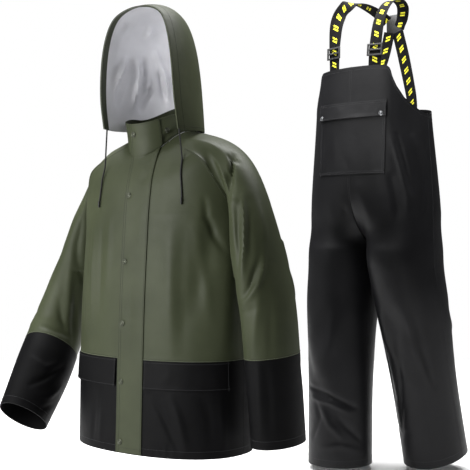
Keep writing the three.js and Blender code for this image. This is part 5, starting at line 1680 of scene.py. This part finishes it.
STITCH_LINES = {
    # Olive stitches in a thread darker than the cloth: real stitching that also paints the shade of the
    # seam grooves and the placket's free edge.
    "jacket_olive_stitching": (
        "olive_thread_and_shade",
        [
            ("placket_cloth", "end", 3.0), ("placket_cloth", "start", 3.0), ("placket_cloth", "start", 9.0),
            ("placket_cloth", "bottom", 12.0), ("placket_cloth", "top", 4.0),
            ("collar_cloth", "top", 5.0), ("collar_cloth", "bottom", 5.0),
            ("front_left_cloth", "end", 3.0), ("front_right_cloth", "end", 3.0),
            ("back_cloth", "start", 3.0), ("back_cloth", "end", 3.0),
            ("front_left_cloth", "bottom", 3.0), ("front_right_cloth", "bottom", 3.0),
            ("back_cloth", "bottom", 3.0),
            ("sleeve_left_upper_cloth", "top", 3.0), ("sleeve_right_upper_cloth", "top", 3.0),
            ("hood_left_cloth", "start", 24.0), ("hood_right_cloth", "start", 24.0),
            ("hood_left_cloth", "start", 3.0), ("hood_right_cloth", "start", 3.0),
            ("hood_left_cloth", "bottom", 8.0), ("hood_right_cloth", "bottom", 8.0),
        ],
    ),
    # Pale stitches along the colour seam: a painted highlight of the seam's turned edge.
    "jacket_colour_seam_stitching": (
        "painted_highlight_thread",
        [
            ("front_left_cloth", "bottom", 1.2), ("front_right_cloth", "bottom", 1.2),
            ("back_cloth", "bottom", 1.2),
            ("sleeve_left_upper_cloth", "top", 1.2), ("sleeve_right_upper_cloth", "top", 1.2),
        ],
    ),
    "jacket_black_stitching": (
        "black_thread",
        [
            ("lower_front_left_cloth", "bottom", 18.0), ("lower_front_right_cloth", "bottom", 18.0),
            ("lower_back_cloth", "bottom", 18.0),
            ("sleeve_left_lower_cloth", "top", 20.0), ("sleeve_right_lower_cloth", "top", 20.0),
            ("pocket_flap_left_cloth", "bottom", 3.0), ("pocket_flap_right_cloth", "bottom", 3.0),
            ("pocket_flap_left_cloth", "top", 3.0), ("pocket_flap_right_cloth", "top", 3.0),
            ("pocket_flap_left_cloth", "start", 3.0), ("pocket_flap_right_cloth", "start", 3.0),
            ("pocket_flap_left_cloth", "end", 3.0), ("pocket_flap_right_cloth", "end", 3.0),
        ],
    ),
    "bib_stitching": (
        "black_thread",
        [
            ("bib_front_left_cloth", "bottom", 22.0), ("bib_front_right_cloth", "bottom", 22.0),
            ("bib_back_left_cloth", "bottom", 22.0), ("bib_back_right_cloth", "bottom", 22.0),
            ("bib_front_left_cloth", "top", 10.0), ("bib_front_right_cloth", "top", 10.0),
            ("bib_back_left_cloth", "top", 10.0), ("bib_back_right_cloth", "top", 10.0),
            ("bib_front_left_cloth", "end", 3.5), ("bib_front_right_cloth", "end", 3.5),
            ("bib_front_left_cloth", "start", 3.0), ("bib_front_right_cloth", "start", 3.0),
            ("bib_back_left_cloth", "start", 3.0), ("bib_back_right_cloth", "start", 3.0),
            ("bib_pocket_cloth", "start", 3.0), ("bib_pocket_cloth", "start", 8.0),
            ("bib_pocket_cloth", "end", 3.0), ("bib_pocket_cloth", "end", 8.0),
            ("bib_pocket_cloth", "bottom", 3.0), ("bib_pocket_cloth", "bottom", 8.0),
            ("bib_flap_cloth", "bottom", 3.0), ("bib_flap_cloth", "start", 3.0),
            ("bib_flap_cloth", "end", 3.0), ("bib_flap_cloth", "top", 3.0), ("bib_flap_cloth", "top", 8.0),
        ],
    ),
}


def stitch_tree():
    """Lays one rounded stitch after another along every line of its input."""
    tree = bpy.data.node_groups.new("rows of stitches", "GeometryNodeTree")
    sockets = {}
    for name, kind in (
        ("Lines", "Geometry"), ("Pitch", "Float"), ("Stitch Length", "Float"), ("Thread", "Float"),
        ("Material", "Material"),
    ):
        sockets[name] = tree.interface.new_socket(name, in_out="INPUT", socket_type=f"NodeSocket{kind}")
    tree.interface.new_socket("Stitches", in_out="OUTPUT", socket_type="NodeSocketGeometry")
    start, end = add_node(tree, "NodeGroupInput"), add_node(tree, "NodeGroupOutput")
    curve = add_node(tree, "GeometryNodeMeshToCurve")
    dots = add_node(tree, "GeometryNodeCurveToPoints", mode="LENGTH")
    bead = add_node(tree, "GeometryNodeMeshUVSphere", {"Segments": 6, "Rings": 4, "Radius": 0.5})
    size = add_node(tree, "ShaderNodeCombineXYZ")
    scale = add_node(tree, "GeometryNodeTransform")
    place = add_node(tree, "GeometryNodeInstanceOnPoints")
    whole = add_node(tree, "GeometryNodeRealizeInstances")
    smooth = add_node(tree, "GeometryNodeSetShadeSmooth")
    paint = add_node(tree, "GeometryNodeSetMaterial")
    link = tree.links.new
    link(start.outputs["Lines"], curve.inputs["Mesh"])
    link(curve.outputs["Curve"], dots.inputs["Curve"])
    link(start.outputs["Pitch"], dots.inputs["Length"])
    link(start.outputs["Thread"], size.inputs["X"])
    link(start.outputs["Thread"], size.inputs["Y"])
    link(start.outputs["Stitch Length"], size.inputs["Z"])
    link(bead.outputs["Mesh"], scale.inputs["Geometry"])
    link(size.outputs["Vector"], scale.inputs["Scale"])
    link(dots.outputs["Points"], place.inputs["Points"])
    link(dots.outputs["Rotation"], place.inputs["Rotation"])
    link(scale.outputs["Geometry"], place.inputs["Instance"])
    link(place.outputs["Instances"], whole.inputs["Geometry"])
    link(whole.outputs["Geometry"], smooth.inputs["Geometry"])
    link(smooth.outputs["Geometry"], paint.inputs["Geometry"])
    link(start.outputs["Material"], paint.inputs["Material"])
    link(paint.outputs["Geometry"], end.inputs["Stitches"])
    return tree, {name: socket.identifier for name, socket in sockets.items()}


def build_stitching(settings):
    """One mesh of stitches for each group of lines, with its thread."""
    tree, names = stitch_tree()
    for name, (thread, lines) in STITCH_LINES.items():
        points, edges = [], []
        for piece, edge, inset in lines:
            line = inset_line(piece, edge, inset)
            edges.extend((len(points) + i, len(points) + i + 1) for i in range(len(line) - 1))
            points.extend(line)
        guide = bpy.data.meshes.new(f"{name}_lines")
        guide.from_pydata((np.array(points) * MM).tolist(), edges, [])
        carrier = put_in_scene(f"{name}_lines", guide)
        modifier = carrier.modifiers.new("rows of stitches", "NODES")
        modifier.node_group = tree
        modifier[names["Pitch"]] = settings.pitch
        modifier[names["Stitch Length"]] = settings.length
        modifier[names["Thread"]] = settings.thread
        modifier[names["Material"]] = material(thread)
        view = bpy.context.evaluated_depsgraph_get()
        mesh = bpy.data.meshes.new_from_object(carrier.evaluated_get(view))
        bpy.data.objects.remove(carrier)
        bpy.data.meshes.remove(guide)
        mesh.name = name
        finish_piece(put_in_scene(name, mesh), [])


# Stage


FLOOR_Z = -0.985
FLOOR_EDGES = (-2.6, 3.0, -2.4, 3.2)
CAMERA_PLACE = (0.182, -2.6, -0.255)
CAMERA_LENS, CAMERA_SENSOR = 76.6, 36
# Each soft box: the setting of its power, its place, the point it faces and its width.
LIGHTS = {
    "key_soft_box": ("key", (-2.35, -2.25, 0.25), (0.25, 0.1, -0.3), 1.4),
    "side_soft_box": ("side", (-2.7, -0.9, 0.1), (0.6, 0.4, -0.2), 1.0),
    "floor_soft_box": ("floor", (0.2, 1.0, 1.9), (0.2, 3.2, -0.4), 3.0),
}


def backdrop():
    """A pale level floor, wide enough for every side that the suit is seen from."""
    left, right, front, back = FLOOR_EDGES
    points = [(x, y, FLOOR_Z) for x, y in ((left, front), (right, front), (right, back), (left, back))]
    mesh = bpy.data.meshes.new("pale_floor")
    mesh.from_pydata(points, [], [(0, 1, 2, 3)])
    # Pale painted board: a clean, even ground that throws a little light back up.
    made, _, shader = new_material("pale matt floor")
    shader.inputs["Base Color"].default_value = linear("F4F4F4")
    shader.inputs["Roughness"].default_value = 0.9
    mesh.materials.append(made)
    put_in_scene("pale_floor", mesh)


def soft_light(name, place, aim, size, power):
    """A square soft box that faces a point of the suit."""
    data = bpy.data.lights.new(name, "AREA")
    data.shape = "SQUARE"
    data.size = size
    data.energy = power
    lamp = put_in_scene(name, data)
    lamp.location = place
    lamp.rotation_euler = (Vector(aim) - Vector(place)).to_track_quat("-Z", "Y").to_euler()


def build_stage(settings):
    """The world, the camera, the floor and the three soft boxes."""
    scene = bpy.context.scene
    scene.view_settings.view_transform = "Standard"
    world = bpy.data.worlds.new("studio air")
    world.use_nodes = True
    air = world.node_tree.nodes["Background"]
    air.inputs["Color"].default_value = (1.0, 1.0, 1.0, 1.0)
    # White where it is looked at, and dim as light, so the soft boxes shape the cloth.
    path = add_node(world.node_tree, "ShaderNodeLightPath")
    seen = add_node(world.node_tree, "ShaderNodeMapRange", {"To Min": settings.air, "To Max": 1.0})
    world.node_tree.links.new(path.outputs["Is Camera Ray"], seen.inputs["Value"])
    world.node_tree.links.new(seen.outputs["Result"], air.inputs["Strength"])
    scene.world = world
    data = bpy.data.cameras.new("camera")
    data.sensor_width = CAMERA_SENSOR
    data.lens = CAMERA_LENS
    camera = put_in_scene("camera", data)
    camera.location = CAMERA_PLACE
    camera.rotation_euler = (math.radians(90), 0, 0)
    scene.camera = camera
    backdrop()
    for name, (power, place, aim, size) in LIGHTS.items():
        soft_light(name, place, aim, size, getattr(settings, power))


# Settings, operators and panel


class RainSuitStage(bpy.types.PropertyGroup):
    """Light of the studio"""

    air: bpy.props.FloatProperty(
        name="Air", description="Brightness of the air all round", default=0.08, min=0
    )
    key: bpy.props.FloatProperty(
        name="Key", description="Power of the main soft box", default=92, min=0, unit="POWER"
    )
    side: bpy.props.FloatProperty(
        name="Side", description="Power of the soft box at the left", default=22, min=0, unit="POWER"
    )
    floor: bpy.props.FloatProperty(
        name="Floor", description="Power of the floor's soft box", default=330, min=0, unit="POWER"
    )


class RainSuitStitches(bpy.types.PropertyGroup):
    """Size of the sewing"""

    pitch: bpy.props.FloatProperty(
        name="Pitch", description="From one stitch to the next", default=0.0042, unit="LENGTH", precision=4
    )
    length: bpy.props.FloatProperty(
        name="Length", description="Length of one stitch", default=0.0034, unit="LENGTH", precision=4
    )
    thread: bpy.props.FloatProperty(
        name="Thread", description="Thickness of the thread", default=0.001, unit="LENGTH", precision=4
    )


class SUIT_OT_stage(bpy.types.Operator):
    """Make the camera, the pale floor and the soft light"""

    bl_idname = "suit.stage"
    bl_label = "Stage"

    def execute(self, context):
        build_stage(context.scene.rain_suit_stage)
        return {"FINISHED"}


class SUIT_OT_drawcords(bpy.types.Operator):
    """Make the hood's two drawcords and their tips"""

    bl_idname = "suit.drawcords"
    bl_label = "Drawcords"

    def execute(self, context):
        build_drawcords()
        return {"FINISHED"}


class SUIT_OT_jacket_body(bpy.types.Operator):
    """Make the jacket's front and back panels"""

    bl_idname = "suit.jacket_body"
    bl_label = "Jacket Body"

    def execute(self, context):
        build_jacket_body()
        return {"FINISHED"}


class SUIT_OT_sleeves(bpy.types.Operator):
    """Make the raglan sleeves with their black ends"""

    bl_idname = "suit.sleeves"
    bl_label = "Sleeves"

    def execute(self, context):
        build_sleeves()
        return {"FINISHED"}


class SUIT_OT_collar_placket(bpy.types.Operator):
    """Make the collar, the front placket and the pocket flaps"""

    bl_idname = "suit.collar_placket"
    bl_label = "Collar, Placket and Flaps"

    def execute(self, context):
        build_collar()
        build_placket()
        build_pocket_flaps()
        return {"FINISHED"}


class SUIT_OT_hood(bpy.types.Operator):
    """Make the lined hood and its turned band"""

    bl_idname = "suit.hood"
    bl_label = "Hood"

    def execute(self, context):
        build_hood()
        build_hood_tunnel()
        return {"FINISHED"}


class SUIT_OT_jacket_snaps(bpy.types.Operator):
    """Make the snaps of the placket and collar"""

    bl_idname = "suit.jacket_snaps"
    bl_label = "Jacket Snaps"

    def execute(self, context):
        build_jacket_snaps()
        return {"FINISHED"}


class SUIT_OT_bib(bpy.types.Operator):
    """Make the four panels of the bib overalls"""

    bl_idname = "suit.bib"
    bl_label = "Bib Overalls"

    def execute(self, context):
        build_bib()
        return {"FINISHED"}


class SUIT_OT_bib_pocket(bpy.types.Operator):
    """Make the chest pocket, its flap and its snaps"""

    bl_idname = "suit.bib_pocket"
    bl_label = "Bib Pocket"

    def execute(self, context):
        build_bib_pocket()
        return {"FINISHED"}


class SUIT_OT_braces(bpy.types.Operator):
    """Make the elastic braces, their sliders and the patch where they cross"""

    bl_idname = "suit.braces"
    bl_label = "Braces"

    def execute(self, context):
        build_braces()
        build_brace_fittings()
        return {"FINISHED"}


class SUIT_OT_stitching(bpy.types.Operator):
    """Sew the rows of stitches along the edges of the cloth pieces"""

    bl_idname = "suit.stitching"
    bl_label = "Stitching"

    def execute(self, context):
        build_stitching(context.scene.rain_suit_stitches)
        return {"FINISHED"}


OPERATORS = (
    SUIT_OT_stage,
    SUIT_OT_drawcords,
    SUIT_OT_jacket_body,
    SUIT_OT_sleeves,
    SUIT_OT_collar_placket,
    SUIT_OT_hood,
    SUIT_OT_jacket_snaps,
    SUIT_OT_bib,
    SUIT_OT_bib_pocket,
    SUIT_OT_braces,
    SUIT_OT_stitching,
)


class SUIT_PT_panel(bpy.types.Panel):
    """The suit's pieces and settings in the sidebar"""

    bl_idname = "SUIT_PT_panel"
    bl_label = "Rain Suit"
    bl_space_type = "VIEW_3D"
    bl_region_type = "UI"
    bl_category = "Rain Suit"

    def draw(self, context):
        for name in ("air", "key", "side", "floor"):
            self.layout.prop(context.scene.rain_suit_stage, name)
        for name in ("pitch", "length", "thread"):
            self.layout.prop(context.scene.rain_suit_stitches, name)
        for operator in OPERATORS:
            self.layout.operator(operator.bl_idname)


CLASSES = (RainSuitStage, RainSuitStitches, *OPERATORS, SUIT_PT_panel)


def register():
    """Adds the operators, the panel and the scene's settings."""
    for item in CLASSES:
        bpy.utils.register_class(item)
    bpy.types.Scene.rain_suit_stage = bpy.props.PointerProperty(type=RainSuitStage)
    bpy.types.Scene.rain_suit_stitches = bpy.props.PointerProperty(type=RainSuitStitches)


def unregister():
    """Takes away what register() has added."""
    del bpy.types.Scene.rain_suit_stitches
    del bpy.types.Scene.rain_suit_stage
    for item in reversed(CLASSES):
        bpy.utils.unregister_class(item)


def main():
    """Makes the whole suit, one operator after another."""
    register()
    for operator in OPERATORS:
        group, name = operator.bl_idname.split(".")
        getattr(getattr(bpy.ops, group), name)()


if __name__ == "__main__":
    main()
